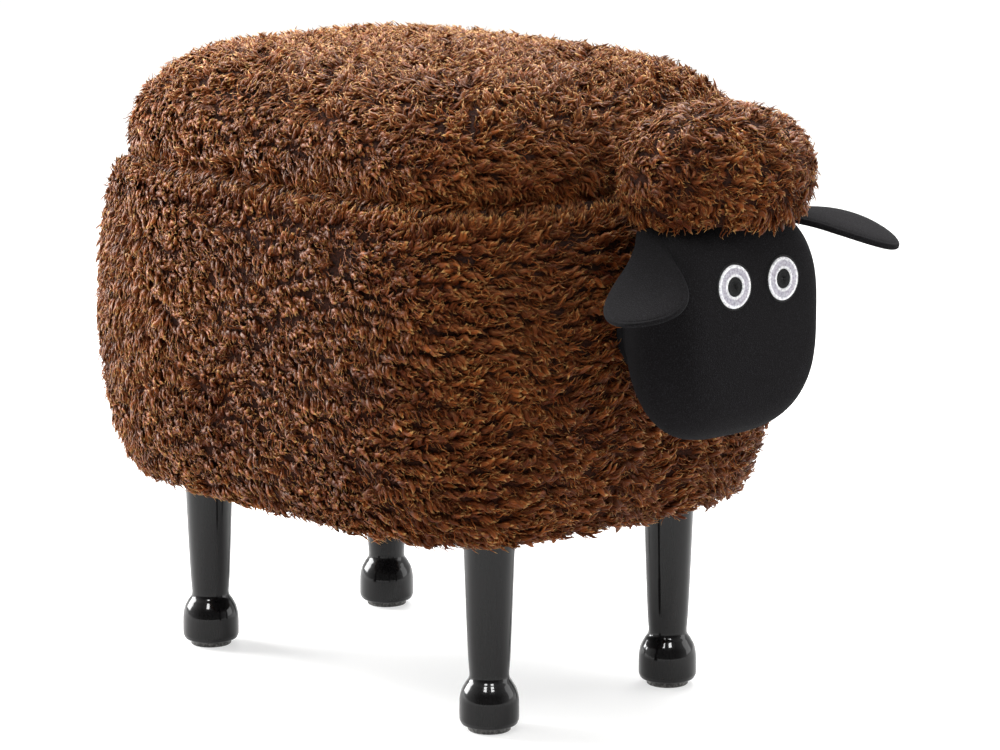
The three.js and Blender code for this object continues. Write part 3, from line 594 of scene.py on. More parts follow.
def nearest(centres, points, flatten):
    """The nearest tuft of each lock, with heights counted more than widths if flatten is over 1."""
    tree = KDTree(len(centres))
    for i, c in enumerate(centres * (1, 1, flatten)):
        tree.insert(c, i)
    tree.balance()
    return np.array([tree.find(p)[1] for p in points * (1, 1, flatten)])


COMBED_FROM, COMBED_TO = -110, 10


def combed_share(point):
    """0 at the rear, where the pile lies loose, and 1 towards the head, where it was combed."""
    return ease(point[:, 0] - MIDDLE_X, COMBED_FROM, COMBED_TO)


# how much paler a lock is for its tuft, for its height in it (painted shade in the hollows), by chance
# (a few painted glints), by patches, at the rear (painted light, with painted shade towards the head)
# and where it faces up (painted light from above)
TUFT_TONE, HOLLOW_SHADE_TONE, PAINTED_GLINT_TONE, PATCH_TONE = 0.1, 0.15, 0.4, 0.12
REAR_LIGHT_TONE, FRONT_SHADE_TONE, TOP_LIGHT_TONE = 0.1, 0.15, 0.14
PATCH_SIZE = 65
UPPER_FROM, UPPER_TO = 0.2, 0.9
# a lock at a tuft's edge starts less steeply, and angles and waves differ by chance
START_LOW_SHARE = 0.75
WAVE_LEAST, WAVE_MOST = 0.5, 1.4
RISE_SPREAD, PHASE_SPREAD = 0.12, 0.6


def comb(places, centres, rng, field, style):
    """The shape and the tone of each lock, from its tuft and the way that the fleece lies there."""
    owner = nearest(centres.point, places.point, style["flatten"])
    tufts, count = len(centres), len(places)
    apart = centres.point[owner] - places.point
    far = np.linalg.norm(apart * (1, 1, style["flatten"]), axis=1) / style["tuft"]
    lean = np.arctan2((apart * places.up).sum(1), (apart * places.round).sum(1))
    loose = 1 - style["calm"] * combed_share(places.point)
    base = field(places) + loose * rng.normal(0, style["tuft_turn"], tufts)[owner]
    flip = rng.random(tufts)[owner] < style["flip"] * loose
    heading = base + math.pi * flip + loose * rng.normal(0, style["lock_turn"], count)
    pull = style["gather"] * loose * np.clip(far, 0, 1)
    heading = np.arctan2(np.sin(heading) + pull * np.sin(lean), np.cos(heading) + pull * np.cos(lean))
    dome = 1 - np.clip(far, 0, 1) ** 2
    sink = style["hollow"] * (1 - dome) + style["uneven"] * rng.uniform(0, 1, tufts)[owner]
    places.point = places.point - places.out * sink[:, None]
    # a lift that the rear keeps and that the locks towards the head lose below: painted light at the rear
    tone = style["tone"] + REAR_LIGHT_TONE + rng.normal(0, TUFT_TONE, tufts)[owner]
    # locks low at a tuft's edge are painted darker and its middle paler: painted shade in the hollows
    tone += rng.normal(0, style["mottle"], count) + HOLLOW_SHADE_TONE * (dome - 0.5)
    # a few locks painted pale at random: painted glints
    tone += PAINTED_GLINT_TONE * (rng.random(count) < style["bright"])
    tone += PATCH_TONE * slow_noise(places.point, PATCH_SIZE, 17)
    # locks where the cloth faces up are painted paler: painted light from above
    tone += TOP_LIGHT_TONE * ease(places.out[:, 2], UPPER_FROM, UPPER_TO)
    # locks towards the head are painted darker: painted shade on the front
    tone -= FRONT_SHADE_TONE * combed_share(places.point)
    shape = dict(
        heading=heading,
        length=style["length"] * (1 + style["vary"] * rng.uniform(-1, 1, count)),
        width=style["width"] * (1 + style["vary"] * rng.uniform(-1, 1, count)),
        start_rise=np.radians(style["start"]) * between(START_LOW_SHARE, 1, dome)
        + rng.normal(0, RISE_SPREAD, count),
        end_rise=np.radians(style["end"]) + rng.normal(0, style["loose"], count),
        wave=style["wave"] * rng.uniform(WAVE_LEAST, WAVE_MOST, count),
        phase=rng.uniform(0, 2 * math.pi, tufts)[owner] + rng.normal(0, PHASE_SPREAD, count),
        curl=np.where(rng.random(tufts)[owner] < 0.5, 1, -1) * style["curl"] * rng.uniform(0, 1, count),
        roll=rng.normal(0, style["roll"], count),
    )
    return shape, np.clip(tone, 0, 1)


# lengths are in mm, start and end in degrees above the cloth, turns in radians, and the rest shares
SIDE_LOCKS = dict(
    kind=BROAD, spacing=3.35, tuft_spacing=12.0, tuft=9.0, flatten=1.7, length=12.0, width=4.3, start=55,
    end=2, wave=0.65, curl=1.0, loose=0.16, vary=0.3, tuft_turn=0.3, lock_turn=0.22, flip=0.08,
    gather=0.5, hollow=3.0, uneven=2.0, roll=0.4, tone=0.26, mottle=0.18, bright=0.07, calm=0.3,
)
# the loose strands are painted paler than the locks, and more of them pale: painted highlights
SIDE_STRANDS = dict(
    SIDE_LOCKS, kind=THIN, spacing=3.3, length=12.5, width=0.85, start=58, end=8, wave=0.7, curl=1.0,
    loose=0.2, lock_turn=0.35, hollow=1.0, uneven=0.8, tone=0.45, mottle=0.3, bright=0.32,
)
TOP_CHANGES = dict(
    calm=0, tuft=6.0, flatten=1.0, tuft_turn=0.9, flip=0.35, start=62, end=22, curl=1.1, gather=0.6
)
TOP_LOCKS = dict(SIDE_LOCKS, **TOP_CHANGES, length=12.0, width=3.7, lock_turn=0.4)
TOP_STRANDS = dict(SIDE_STRANDS, **TOP_CHANGES, length=12.0)
FOLD_LOCKS = dict(
    TOP_LOCKS, length=6.0, width=2.6, spacing=3.2, start=16, end=0, loose=0.08, hollow=0.3, uneven=0.2,
    wave=0.4, roll=0.15,
)
PIECE_TRIANGLES = 190000


def fleece(name, path, bed, field, styles, seed, body, keep, **where):
    """Locks over a surface, cut into sectors round it, each piece riding on a body."""
    pieces = 0
    for style in styles:
        kind = style["kind"]
        rng = np.random.default_rng(seed + pieces)
        places = plant(path, style["spacing"], rng, **where)
        places.point = bed(places)
        places = places.only(keep(places))
        centres = plant(path, style["tuft_spacing"], np.random.default_rng(seed), **where)
        centres.point = bed(centres)
        shape, tone = comb(places, centres, rng, field, style)
        points = lock_points(kind, places, **shape)
        count, rings, sides = len(places), len(kind["widths"]), len(kind["across"])
        values = dict(tone=tone, seed=rng.random(count), length=shape["length"], width=shape["width"])
        # two triangles for each side between rings, a tip of one for each side, and the closed root
        each = 2 * sides * (rings - 1) + sides + sides - 2
        beside = places.point - places.point.mean(0)
        order = np.argsort(np.arctan2(beside[:, 1], beside[:, 0]) / (2 * math.pi) % 1)
        for chosen in np.array_split(order, math.ceil(count * each / PIECE_TRIANGLES)):
            pieces += 1
            part = {key: number[chosen] for key, number in values.items()}
            piece = make_locks(f"{name}_{pieces}", kind, points[chosen], part, fleece_locks)
            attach(piece, body)
        print(name, "has", count, "locks of", each, "triangles")


# %% [markdown]
# ## The fleece of the box
# In the photograph the pile lies level round the front and the near side, in faint rows, and hangs
# down at an angle towards the rear. A field of directions does that, with slow noise over it. The
# roots are set in by the depth of the pile, less on the fold, where the lid presses it flat. Where
# the head and the hinges are fixed, the cloth is kept bare.

# %% Box fleece
PILE_DEPTH, FOLD_DEPTH, SHOULDER_DEPTH = 6.5, 2.0, 3.5
ROW_HEIGHT, ROW_DEPTH, ROW_SLIDE = 7.5, 3.0, 1.5
ROW_WAVER, ROW_WAVER_SIZE = 6.0, 110
REAR_FROM, REAR_TO = 10, 170
# how the pile lies, in radians above level, and how it varies
LEVEL_LIE, REAR_FALL, LIE_SPREAD, LIE_SIZE = -0.05, 0.95, 0.6, 70
SHOULDER_LIE, SHOULDER_LIE_SHARE = 1.35, 0.75
FOLD_EDGE = 3.0
NECK_CLEAR, NECK_DROP = 40.0, 2.5
HINGE_MARGIN, HINGE_HEIGHT = 5.0, 9.0

box_run = path_run(box_path)
# places on the section, measured back from its inner edge: the flat fold and the drawn-in shoulder
FLAT_FROM, FLAT_TO = box_run[-1] - 46, box_run[-1] - 34
SHOULDER_FROM, SHOULDER_TO, UPRIGHT_TO = box_run[-1] - 78, box_run[-1] - 50, box_run[-1] - 54
NECK_Z = (head_low[2] + head_high[2]) / 2 - NECK_DROP
hinge_boxes = [box_mm("hinge_body_leaf_" + end) for end in ("front", "rear")]


def box_bed(places):
    """Roots set in by the pile and gathered in combed rows, deeper on the shoulder, flat on the fold."""
    flat = ease(places.run, FLAT_FROM, FLAT_TO)
    shoulder = ease(places.run, SHOULDER_FROM, SHOULDER_TO)
    combed = combed_share(places.point) * (1 - shoulder)
    waver = ROW_WAVER * slow_noise(places.point, ROW_WAVER_SIZE, 13)
    row = 2 * math.pi * (places.point[:, 2] + waver) / ROW_HEIGHT
    pile = PILE_DEPTH + SHOULDER_DEPTH * shoulder + ROW_DEPTH * (0.5 + 0.5 * np.cos(row)) * combed
    depth = between(pile, FOLD_DEPTH, flat)
    slide = ROW_SLIDE * np.sin(row) * combed
    return places.point - places.out * depth[:, None] + places.up * slide[:, None]


def box_field(places):
    """Level towards the head, falling at an angle towards the rear, and upright on the shoulder."""
    rear = ease(MIDDLE_X - places.point[:, 0], REAR_FROM, REAR_TO)
    shoulder = ease(places.run, SHOULDER_FROM, UPRIGHT_TO)
    lie = LEVEL_LIE - REAR_FALL * rear + LIE_SPREAD * slow_noise(places.point, LIE_SIZE, 3)
    return between(lie, SHOULDER_LIE, SHOULDER_LIE_SHARE * shoulder)


def off_the_neck(places):
    beside = np.hypot(places.point[:, 1], places.point[:, 2] - NECK_Z)
    return ~((beside < NECK_CLEAR) & (places.point[:, 0] > MIDDLE_X))


def off_the_hinges(places):
    """The cloth is bare where the hinge leaves are let in, and trimmed round the knuckles."""
    bare = np.zeros(len(places), bool)
    x, y, z = places.point.T
    for low, high in hinge_boxes:
        beside = np.abs(x - (low[0] + high[0]) / 2) < (high[0] - low[0]) / 2 + HINGE_MARGIN
        bare |= beside & (y > low[1] - HINGE_MARGIN) & (np.abs(z - high[2]) < HINGE_HEIGHT)
    return ~bare


def off_the_fold(places):
    return (places.run < FLAT_TO) & off_the_neck(places) & off_the_hinges(places)


def on_the_box_fold(places):
    fold = (places.run >= FLAT_TO) & (places.run < box_run[-1] - FOLD_EDGE)
    return fold & off_the_hinges(places)


side_fleece = (SIDE_LOCKS, SIDE_STRANDS)
fleece("box_fleece", box_path, box_bed, box_field, side_fleece, 11, BOX, off_the_fold)
fleece("box_fold_fleece", box_path, box_bed, box_field, (FOLD_LOCKS,), 12, BOX, on_the_box_fold)

# %% [markdown]
# ## The backing of the box
# The knitted backing is what the locks grow from, and it shows dark between them. It is cloth over
# foam, folded over the rim and in under the base. A closed shell, offset in from the outer form,
# gives it a thickness and keeps light from leaking through.

# %% Box backing
AROUND = 180
SKIN, FOLD_SKIN, UNDER_PILE = 3.0, 1.1, 1.0


def offset_path(path, depth):
    """A path moved in, square to itself."""
    step = np.gradient(path, axis=0)
    length = np.hypot(step[:, 0], step[:, 2])[:, None]
    out = np.stack([step[:, 2], step[:, 2], -step[:, 0]], 1) / np.maximum(length, 1e-9)
    return path - out * np.asarray(depth)[:, None]


def carry_round(path, power=PLAN_POWER, middle=BOX_MIDDLE, around=AROUND):
    """Loops of points round a plan, one for each place on the path."""
    loops = []
    for a, b, z in path:
        angle, _ = even_angles(a, b, power, np.arange(around) / around)
        loops.append(plan_points(angle, a, b, z, power, middle))
    return loops


def box_backing():
    flat = ease(box_run, FLAT_FROM, FLAT_TO)
    shoulder = SHOULDER_DEPTH * ease(box_run, SHOULDER_FROM, SHOULDER_TO) * (1 - flat)
    deep = shoulder + between(PILE_DEPTH + UNDER_PILE, FOLD_DEPTH, flat)
    skin_depth = between(PILE_DEPTH + UNDER_PILE + SKIN, FOLD_DEPTH + FOLD_SKIN, flat)
    outside = offset_path(box_path, deep)
    inside = offset_path(box_path, np.maximum(deep + FOLD_SKIN, skin_depth))
    loops = carry_round(np.concatenate([outside, inside[::-1]]))
    return make_object("box_backing", *skin(loops, wrapped=True), fleece_backing)


backing = box_backing()
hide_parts("body_cover")
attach(backing, BOX)
print("box backing:", len(backing.data.polygons), "faces")

# %% [markdown]
# ## The fleece of the lid
# The lid is the same cloth over foam and a board, folded round its lower edge. Its side follows the
# box below, and on top the pile has no one direction: it was pressed and brushed this way and that,
# and stands up more. The same helpers make it, with a bed and a field of its own.

# %% Lid fleece
LID_EDGE_PILE = 4.5
LID_FOLD_LENGTH = FOLD_REACH - LID_LOWER_INSET
LID_TURN_FROM, LID_TURN_TO = LID_FOLD_LENGTH - 6, LID_FOLD_LENGTH + 6
LID_SWELL_FROM, LID_SWELL_TO = LID_FOLD_LENGTH + 8, LID_FOLD_LENGTH + 40
LID_HANG_FROM, LID_HANG_TO = LID_FOLD_LENGTH + 5, LID_FOLD_LENGTH + 30
LID_SIDE_START = LID_FOLD_LENGTH - 2
# how the pile lies, in radians above level, and how it varies
LID_SIDE_LIE, LID_HANG, LID_SIDE_SPREAD, LID_SIDE_SIZE = -0.1, 0.8, 0.5, 90
LID_TOP_SPREAD, LID_TOP_SIZE = 3, 120
# how far up the cloth faces where the top's lie starts and is full, and where its locks start
TOP_FROM, TOP_TO, TOP_FACING = 0.45, 0.85, 0.62

lid_run = path_run(lid_path)


def lid_bed(places):
    """Roots set in by the pile, less deep near the lower edge, where the pile swells over the seam."""
    flat = 1 - ease(places.run, LID_TURN_FROM, LID_TURN_TO)
    edge = 1 - ease(places.run, LID_SWELL_FROM, LID_SWELL_TO)
    pile = between(PILE_DEPTH, LID_EDGE_PILE, edge)
    return places.point - places.out * between(pile, FOLD_DEPTH, flat)[:, None]


def lid_field(places):
    """Level on the side, hanging a little at the lower edge, and this way and that on top."""
    top = ease(places.out[:, 2], TOP_FROM, TOP_TO)
    edge = 1 - ease(places.run, LID_HANG_FROM, LID_HANG_TO)
    side = LID_SIDE_LIE - LID_HANG * edge + LID_SIDE_SPREAD * slow_noise(places.point, LID_SIDE_SIZE, 5)
    return between(side, LID_TOP_SPREAD * slow_noise(places.point, LID_TOP_SIZE, 7), top)


def lid_side(places):
    side = (places.out[:, 2] < TOP_FACING) & (places.run > LID_SIDE_START)
    return side & off_the_hinges(places)


def lid_top(places):
    return places.out[:, 2] >= TOP_FACING


def on_the_lid_fold(places):
    fold = (places.run > FOLD_EDGE) & (places.run <= LID_SIDE_START)
    return fold & off_the_hinges(places)


top_fleece = (TOP_LOCKS, TOP_STRANDS)
fleece("lid_side_fleece", lid_path, lid_bed, lid_field, side_fleece, 21, LID, lid_side)
fleece("lid_top_fleece", lid_path, lid_bed, lid_field, top_fleece, 22, LID, lid_top)
fleece("lid_fold_fleece", lid_path, lid_bed, lid_field, (FOLD_LOCKS,), 23, LID, on_the_lid_fold)


def lid_backing():
    full = ease(lid_run, LID_TURN_FROM, LID_TURN_TO)
    outside = offset_path(lid_path, between(FOLD_DEPTH, PILE_DEPTH, full))
    inside = offset_path(lid_path, between(FOLD_DEPTH + FOLD_SKIN, PILE_DEPTH + SKIN, full))
    loops = carry_round(np.concatenate([inside[::-1], outside]))
    return make_object("lid_backing", *skin(loops), fleece_backing)


lid_cloth = lid_backing()
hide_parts("lid_cover")
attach(lid_cloth, LID)
print("lid backing:", len(lid_cloth.data.polygons), "faces")

# %% [markdown]
# ## Smooth curves through a few points
# Turned and stuffed forms are set out by a few sizes, as on a maker's drawing, and a smooth curve
# is run through them. The Catmull-Rom curve used here passes through every point it is given.


# %% A smooth curve
def smooth_through(points, steps):
    p = np.asarray(points, float)
    p = np.vstack([2 * p[0] - p[1], p, 2 * p[-1] - p[-2]])
    t = np.linspace(0, 1, steps, endpoint=False)[:, None]
    curve = [
        0.5 * (2 * b + (c - a) * t + (2 * a - 5 * b + 4 * c - d) * t**2 + (3 * b - a - 3 * c + d) * t**3)
        for a, b, c, d in zip(p, p[1:], p[2:], p[3:])
    ]
    return np.vstack(curve + [p[-2:-1]])


print("curve helper ready")

# %% [markdown]
# ## The head
# A stuffed form of black felt, narrow at the neck, full in the middle and rounded off at the face.
# It could be cut from panels and blown up, but a loft keeps the outline that was measured. Its
# sections are superellipses of power 3.2, between an ellipse and a box. Shares of its depth, width
# and height set the form, and a smooth surface is carried through them. Its middle rises a little
# from the neck to the face.

# %% Head form
HEAD_POWER = 3.2
HEAD_RISE = 4.0
# how far off the head's surface the ears and the topknot's cloth lie
HEAD_GAP = 0.4
FACE_BULGE = 3.0
NECK_IN_PILE = 6.0
# depth from the neck, width and height of the section
HEAD_SECTION_SHARES = [
    (0, 0.51, 0.48),
    (0.09, 0.59, 0.585),
    (0.18, 0.69, 0.69),
    (0.27, 0.78, 0.78),
    (0.38, 0.875, 0.875),
    (0.5, 0.955, 0.955),
    (0.63, 1, 1),
    (0.74, 0.99, 0.98),
    (0.83, 0.965, 0.925),
    (0.9, 0.93, 0.85),
    (0.96, 0.87, 0.735),
    (1, 0.76, 0.56),
]
HEAD_BACK = head_low[0]
HEAD_DEPTH = head_high[0] - FACE_BULGE - HEAD_BACK
HEAD_HALF_WIDTH = head_high[1]
HEAD_HALF_HEIGHT = (head_high[2] - head_low[2]) / 2
BULGE_SHARE = FACE_BULGE / HEAD_DEPTH
# the face bulges gently to its middle: how far it has come forward, and its size there
FACE_RISE_SHARES = ((0.5, 0.76), (0.86, 0.4), (1, 0.01))
_, face_width, face_height = HEAD_SECTION_SHARES[-1]
FACE_SHARES = [
    (1 + BULGE_SHARE * rise, face_width * size, face_height * size) for rise, size in FACE_RISE_SHARES
]

head_curve = smooth_through(HEAD_SECTION_SHARES + FACE_SHARES, 9)
head_x = HEAD_BACK + HEAD_DEPTH * head_curve[:, 0]
fullest = int(np.argmax(head_curve[:, 1]))


def head_section(x):
    """Half width, half height and middle height of the head's section at x."""
    wide = np.interp(x, head_x, head_curve[:, 1], left=0.001, right=0.001)
    high = np.interp(x, head_x, head_curve[:, 2], left=0.001, right=0.001)
    middle = NECK_Z + HEAD_RISE * (x - HEAD_BACK) / HEAD_DEPTH
    return HEAD_HALF_WIDTH * wide, HEAD_HALF_HEIGHT * high, middle


def head_measure(points):
    """Under 1 inside the head and over 1 outside it."""
    half_width, half_height, middle = head_section(points[..., 0])
    y = np.abs(points[..., 1]) / half_width
    z = np.abs(points[..., 2] - middle) / half_height
    return (y**HEAD_POWER + z**HEAD_POWER) ** (1 / HEAD_POWER)


def clear_of_head(points, gap):
    """Points that lie in the head are moved straight out of it, to a gap from its surface."""
    moved = np.array(points, float)
    half_width, _, middle = head_section(moved[..., 0])
    grow = np.maximum((1 + gap / half_width) / np.maximum(head_measure(moved), 0.05), 1)
    grow = np.where(half_width > 1, grow, 1)
    moved[..., 1] *= grow
    moved[..., 2] = middle + (moved[..., 2] - middle) * grow
    return moved


def face_x(y, z):
    """Where the face's surface lies along X, at places across it."""
    front = head_x[fullest:]
    places = np.stack(np.broadcast_arrays(front, np.ravel(y)[:, None], np.ravel(z)[:, None]), -1)
    measure = head_measure(places)
    found = [np.interp(1, row, front) for row in measure]
    return np.reshape(found, np.shape(y))


def head_loops(around=144):
    loops = []
    for x in [HEAD_BACK - NECK_IN_PILE, *head_x]:
        a, b, middle = head_section(max(x, HEAD_BACK))
        angle, _ = even_angles(a, b, HEAD_POWER, np.arange(around) / around)
        r = plan_radius(angle, a, b, HEAD_POWER)
        loops.append(np.stack([x + 0 * r, r * np.cos(angle), middle + r * np.sin(angle)], -1))
    return loops


print(f"head {HEAD_DEPTH:.0f} deep, {2 * HEAD_HALF_WIDTH:.0f} wide, {2 * HEAD_HALF_HEIGHT:.0f} mm high")

# %% [markdown]
# ## Black felt
# Head and ears are a brushed polyester felt. It is matt, with a short nap that turns pale where it
# is seen edge on, and a slight heather of greyer fibres. Sheen gives that edge, and fine noise gives
# the heather and the nap. The felt's fibres are finer than a pixel, so the noise is drawn coarser.

# %% Felt
CLUMP_MM, NAP_MM = 0.8, 0.35


def felt_material():
    made, tree, shader = new_material(
        "felt_black_brushed",
        Roughness=0.95,
        Specular_IOR_Level=0.06,
        Sheen_Weight=0.05,
        Sheen_Roughness=0.45,
        Sheen_Tint=linear("#84838A"),
    )
    place = add_node(tree, "ShaderNodeTexCoord").outputs["Object"]
    heather = add_node(
        tree,
        "ShaderNodeTexNoise",
        values={"Scale": 1 / (CLUMP_MM * MM), "Detail": 3.0},
        links={"Vector": place},
    )
    add_node(
        tree,
        "ShaderNodeValToRGB",
        links={"Fac": heather.outputs["Fac"]},
        stops=[(0.35, "#0D0C0D"), (0.55, "#151415"), (0.72, "#242326")],
        to={"Color": shader.inputs["Base Color"]},
    )
    add_node(
        tree,
        "ShaderNodeBump",
        values={"Distance": NAP_MM * MM},
        links={"Height": heather.outputs["Fac"]},
        to={"Normal": shader.inputs["Normal"]},
    )
    return made


felt = felt_material()
head = make_object("head_felt", *skin(head_loops()), felt)
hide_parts("head_cover")
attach(head, BOX)
print("head:", len(head.data.polygons), "faces")

# %% [markdown]
# ## The ears
# Each ear is two layers of felt with a little wadding, sewn round the edge and turned. That leaves
# a thin rolled edge, a line of stitches just inside it, and a soft pillow in the middle. A cloth
# simulation would puff it up too, but not to a size. Here the height of the pillow is worked out
# from the distance to the edge, so the stitched line follows it truly.

# %% Ears
EAR_LENGTH, EAR_HALF_WIDTH = 96.0, 28.0
EAR_EDGE, EAR_PUFF, EAR_PUFF_REACH = 1.2, 2.6, 18.0
STITCH_INSET, STITCH_DEPTH, STITCH_WIDTH = 2.4, 0.35, 0.6
EAR_ROOT_SHARES = (0.79, 0.87)
HEAD_MIDDLE_SHARE = 0.52
# distance along the ear, and half width
EAR_OUTLINE_SHARES = [
    (0, 0.36),
    (0.14, 0.4),
    (0.3, 0.56),
    (0.46, 0.8),
    (0.62, 0.97),
    (0.76, 1),
    (0.88, 0.86),
    (0.96, 0.56),
    (0.99, 0.28),
    (1, 0),
]


def ear_height(distance):
    edge = EAR_EDGE * np.sqrt(1 - (1 - np.clip(distance / EAR_EDGE, 0, 1)) ** 2)
    puff = EAR_PUFF * np.sqrt(1 - (1 - np.clip(distance / EAR_PUFF_REACH, 0, 1)) ** 2)
    stitch = STITCH_DEPTH * np.exp(-(((distance - STITCH_INSET) / STITCH_WIDTH) ** 2))
    return edge + puff - stitch


def ear_loops(curl, fold, across=44):
    """Loops round the ear's section from root to tip. Curl takes the tip down, and fold the sides."""
    outline = smooth_through(EAR_OUTLINE_SHARES, 12) * (EAR_LENGTH, EAR_HALF_WIDTH)
    edge = np.concatenate([outline, outline * (1, -1)])
    share = np.sin(np.linspace(-math.pi / 2, math.pi / 2, across))
    loops = []
    for along, half in outline[:-1]:
        x = half * share
        away = np.hypot(along - edge[None, :, 0], x[:, None] - edge[None, :, 1]).min(1)
        z = ear_height(away)
        bend = -curl * (along / EAR_LENGTH) ** 2 - fold * (np.abs(x) / EAR_HALF_WIDTH) ** 1.5
        y = along + 0 * x
        over = np.stack([x, y, z + bend], 1)[::-1]
        under = np.stack([x, y, -z + bend], 1)[1:-1]
        loops.append(np.concatenate([over, under]))
    return loops


def turned_about(axis, degrees):
    angle = math.radians(degrees)
    c, s = math.cos(angle), math.sin(angle)
    i, j = {"X": (1, 2), "Y": (2, 0), "Z": (0, 1)}[axis]
    matrix = np.eye(3)
    matrix[i, i], matrix[i, j], matrix[j, i], matrix[j, j] = c, -s, s, c
    return matrix


def place_ear(points, side, droop, sweep, twist):
    """The ear turned about its root, and set where it is sewn to the head."""
    half_turn = turned_about("Z", 180 if side < 0 else 0)
    turn = turned_about("Z", -side * sweep) @ turned_about("X", -side * droop)
    turn = turn @ turned_about("Y", twist) @ half_turn
    root = np.array(
        [
            HEAD_BACK + HEAD_DEPTH * HEAD_MIDDLE_SHARE,
            side * HEAD_HALF_WIDTH * EAR_ROOT_SHARES[0],
            NECK_Z + HEAD_HALF_HEIGHT * EAR_ROOT_SHARES[1],
        ]
    )
    return clear_of_head(np.asarray(points) @ turn.T + root, HEAD_GAP)


def make_ear(name, side, droop, sweep, twist, curl, fold):
    points, faces = skin(ear_loops(curl, fold))
    ear = make_object(name + "_felt", place_ear(points, side, droop, sweep, twist), faces, felt)
    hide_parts(name)
    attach(ear, BOX)
    print(name, "has", len(ear.data.polygons), "faces")


make_ear("ear_right", -1, droop=39, sweep=44, twist=-12, curl=-17.5, fold=1.0)
make_ear("ear_left", 1, droop=5.5, sweep=25.5, twist=13, curl=14.5, fold=0.5)

# %% [markdown]
# ## The eyes
# Two embroidered rings: satin stitch in white thread with a black pupil. Satin stitch is a row of
# threads laid side by side, so each band is a set of fine ridges that run outwards. A flat disc with
# a drawn pattern would lack their relief. Real threads are 0.4 mm apart. They are drawn 1 mm apart,
# which still shows as stitching in the picture.

# %% Eyes
EYE_SPACING, EYE_RISE = 46.0, 33.1
EYE_RADIUS, PUPIL_RADIUS = 14.5, 6.3
EYE_THICKNESS, BAND_BACK = 1.2, 0.05
OUTLINE_WIDTH, OUTLINE_GAP = 1.3, 0.05
RING_GAP, PUPIL_LAP, PUPIL_CENTRE = 0.3, 0.2, 0.1
STITCH_PITCH, RIDGE_SHARE = 1.0, 0.14
MOTTLE_MM = 1.5
EYE_POINTS = 360
# place across a band, and height of the thread there
SATIN_SHARES = [(0, 0.25), (0.03, 0.7), (0.12, 0.95), (0.22, 0.9), (0.27, 0.62), (0.4, 0.78), (0.6, 0.78)]
SATIN_SHARES += [(0.73, 0.62), (0.78, 0.9), (0.88, 0.95), (0.97, 0.7), (1, 0.25)]
OUTLINE_SHARES = [(0, 0.2), (0.3, 0.6), (0.7, 0.6), (1, 0.2)]


def thread_material(name, stops, roughness):
    made, tree, shader = new_material(
        name, Roughness=roughness, Specular_IOR_Level=0.25, Sheen_Weight=0.05, Sheen_Roughness=0.4
    )
    across = add_node(tree, "ShaderNodeAttribute", attribute_name="across").outputs["Fac"]
    colour = add_node(tree, "ShaderNodeValToRGB", links={"Fac": across}, stops=stops)
    place = add_node(tree, "ShaderNodeTexCoord").outputs["Object"]
    mottle = add_node(
        tree,
        "ShaderNodeTexNoise",
        values={"Scale": 1 / (MOTTLE_MM * MM), "Detail": 3.0},
        links={"Vector": place},
    )
    shade = add_node(
        tree,
        "ShaderNodeValToRGB",
        links={"Fac": mottle.outputs["Fac"]},
        stops=[(0.35, "#C9C7CE"), (0.6, "#FFFFFF")],
    )
    add_node(
        tree,
        "ShaderNodeMix",
        data_type="RGBA",
        blend_type="MULTIPLY",
        values={"Factor": 1.0},
        links={"A": colour.outputs["Color"], "B": shade.outputs["Color"]},
        to={"Result": shader.inputs["Base Color"]},
    )
    return made


# the white thread's middle band is painted grey: painted shade where the stitches lie lower between the
# raised rims
white_thread = thread_material(
    "rayon_thread_white",
    [(0, "#FFFFFF"), (0.2, "#FFFFFF"), (0.3, "#BCB9C2"), (0.7, "#C6C3CB"), (0.8, "#FFFFFF")],
    0.6,
)
black_thread = thread_material("rayon_thread_black", [(0, "#070707"), (1, "#0B0B0B")], 0.7)


def satin_band(name, y, z, inner, outer, material, profile):
    """A ring of satin stitch on the face, as a closed band with a ridge for each thread."""
    angle = np.linspace(0, 2 * math.pi, EYE_POINTS, endpoint=False)
    threads = round(2 * math.pi * outer / STITCH_PITCH)
    ridge = 1 - RIDGE_SHARE + RIDGE_SHARE * np.cos(threads * angle)
    rows = [(share, EYE_THICKNESS * up * ridge) for share, up in profile[::-1]]
    rows += [(share, BAND_BACK + 0 * angle) for share in (0, 0.5, 1)]
    loops = []
    for share, height in rows:
        r = inner + (outer - inner) * share
        ring_y, ring_z = y + r * np.cos(angle), z + r * np.sin(angle)
        loops.append(np.stack([face_x(ring_y, ring_z) + height, ring_y, ring_z], 1))
    made = make_object(name, *skin(loops, wrapped=True), material)
    layer = made.data.attributes.new("across", "FLOAT", "POINT")
    across = np.repeat([share for share, _ in rows], EYE_POINTS)
    layer.data.foreach_set("value", across.astype(np.float32))
    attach(made, BOX)
    return made


def make_eye(side_name, y):
    z = NECK_Z + EYE_RISE
    inner, lap, edge = PUPIL_RADIUS + RING_GAP, PUPIL_RADIUS + PUPIL_LAP, EYE_RADIUS + OUTLINE_WIDTH
    ring = satin_band(
        f"eye_ring_{side_name}_stitched", y, z, inner, EYE_RADIUS, white_thread, SATIN_SHARES
    )
    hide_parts(f"eye_ring_{side_name}")
    pupil = satin_band(
        f"eye_pupil_{side_name}_stitched", y, z, PUPIL_CENTRE, lap, black_thread, SATIN_SHARES[4:]
    )
    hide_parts(f"eye_pupil_{side_name}")
    border = satin_band(
        f"eye_outline_{side_name}", y, z, EYE_RADIUS + OUTLINE_GAP, edge, black_thread, OUTLINE_SHARES
    )


make_eye("left", EYE_SPACING / 2)
make_eye("right", -EYE_SPACING / 2)
print("eyes:", 2 * EYE_RADIUS, "mm across, at", EYE_SPACING, "mm spacing")

# %% [markdown]
# ## The topknot
# A cap of the same fleece, stuffed, over the top of the head. Its backing is a dome whose lower part
# rests on the head. Blender could cut the head out of it, but cloth isn't cut so: it lies on what is
# under it. So places that would lie in the head are moved out to its surface.

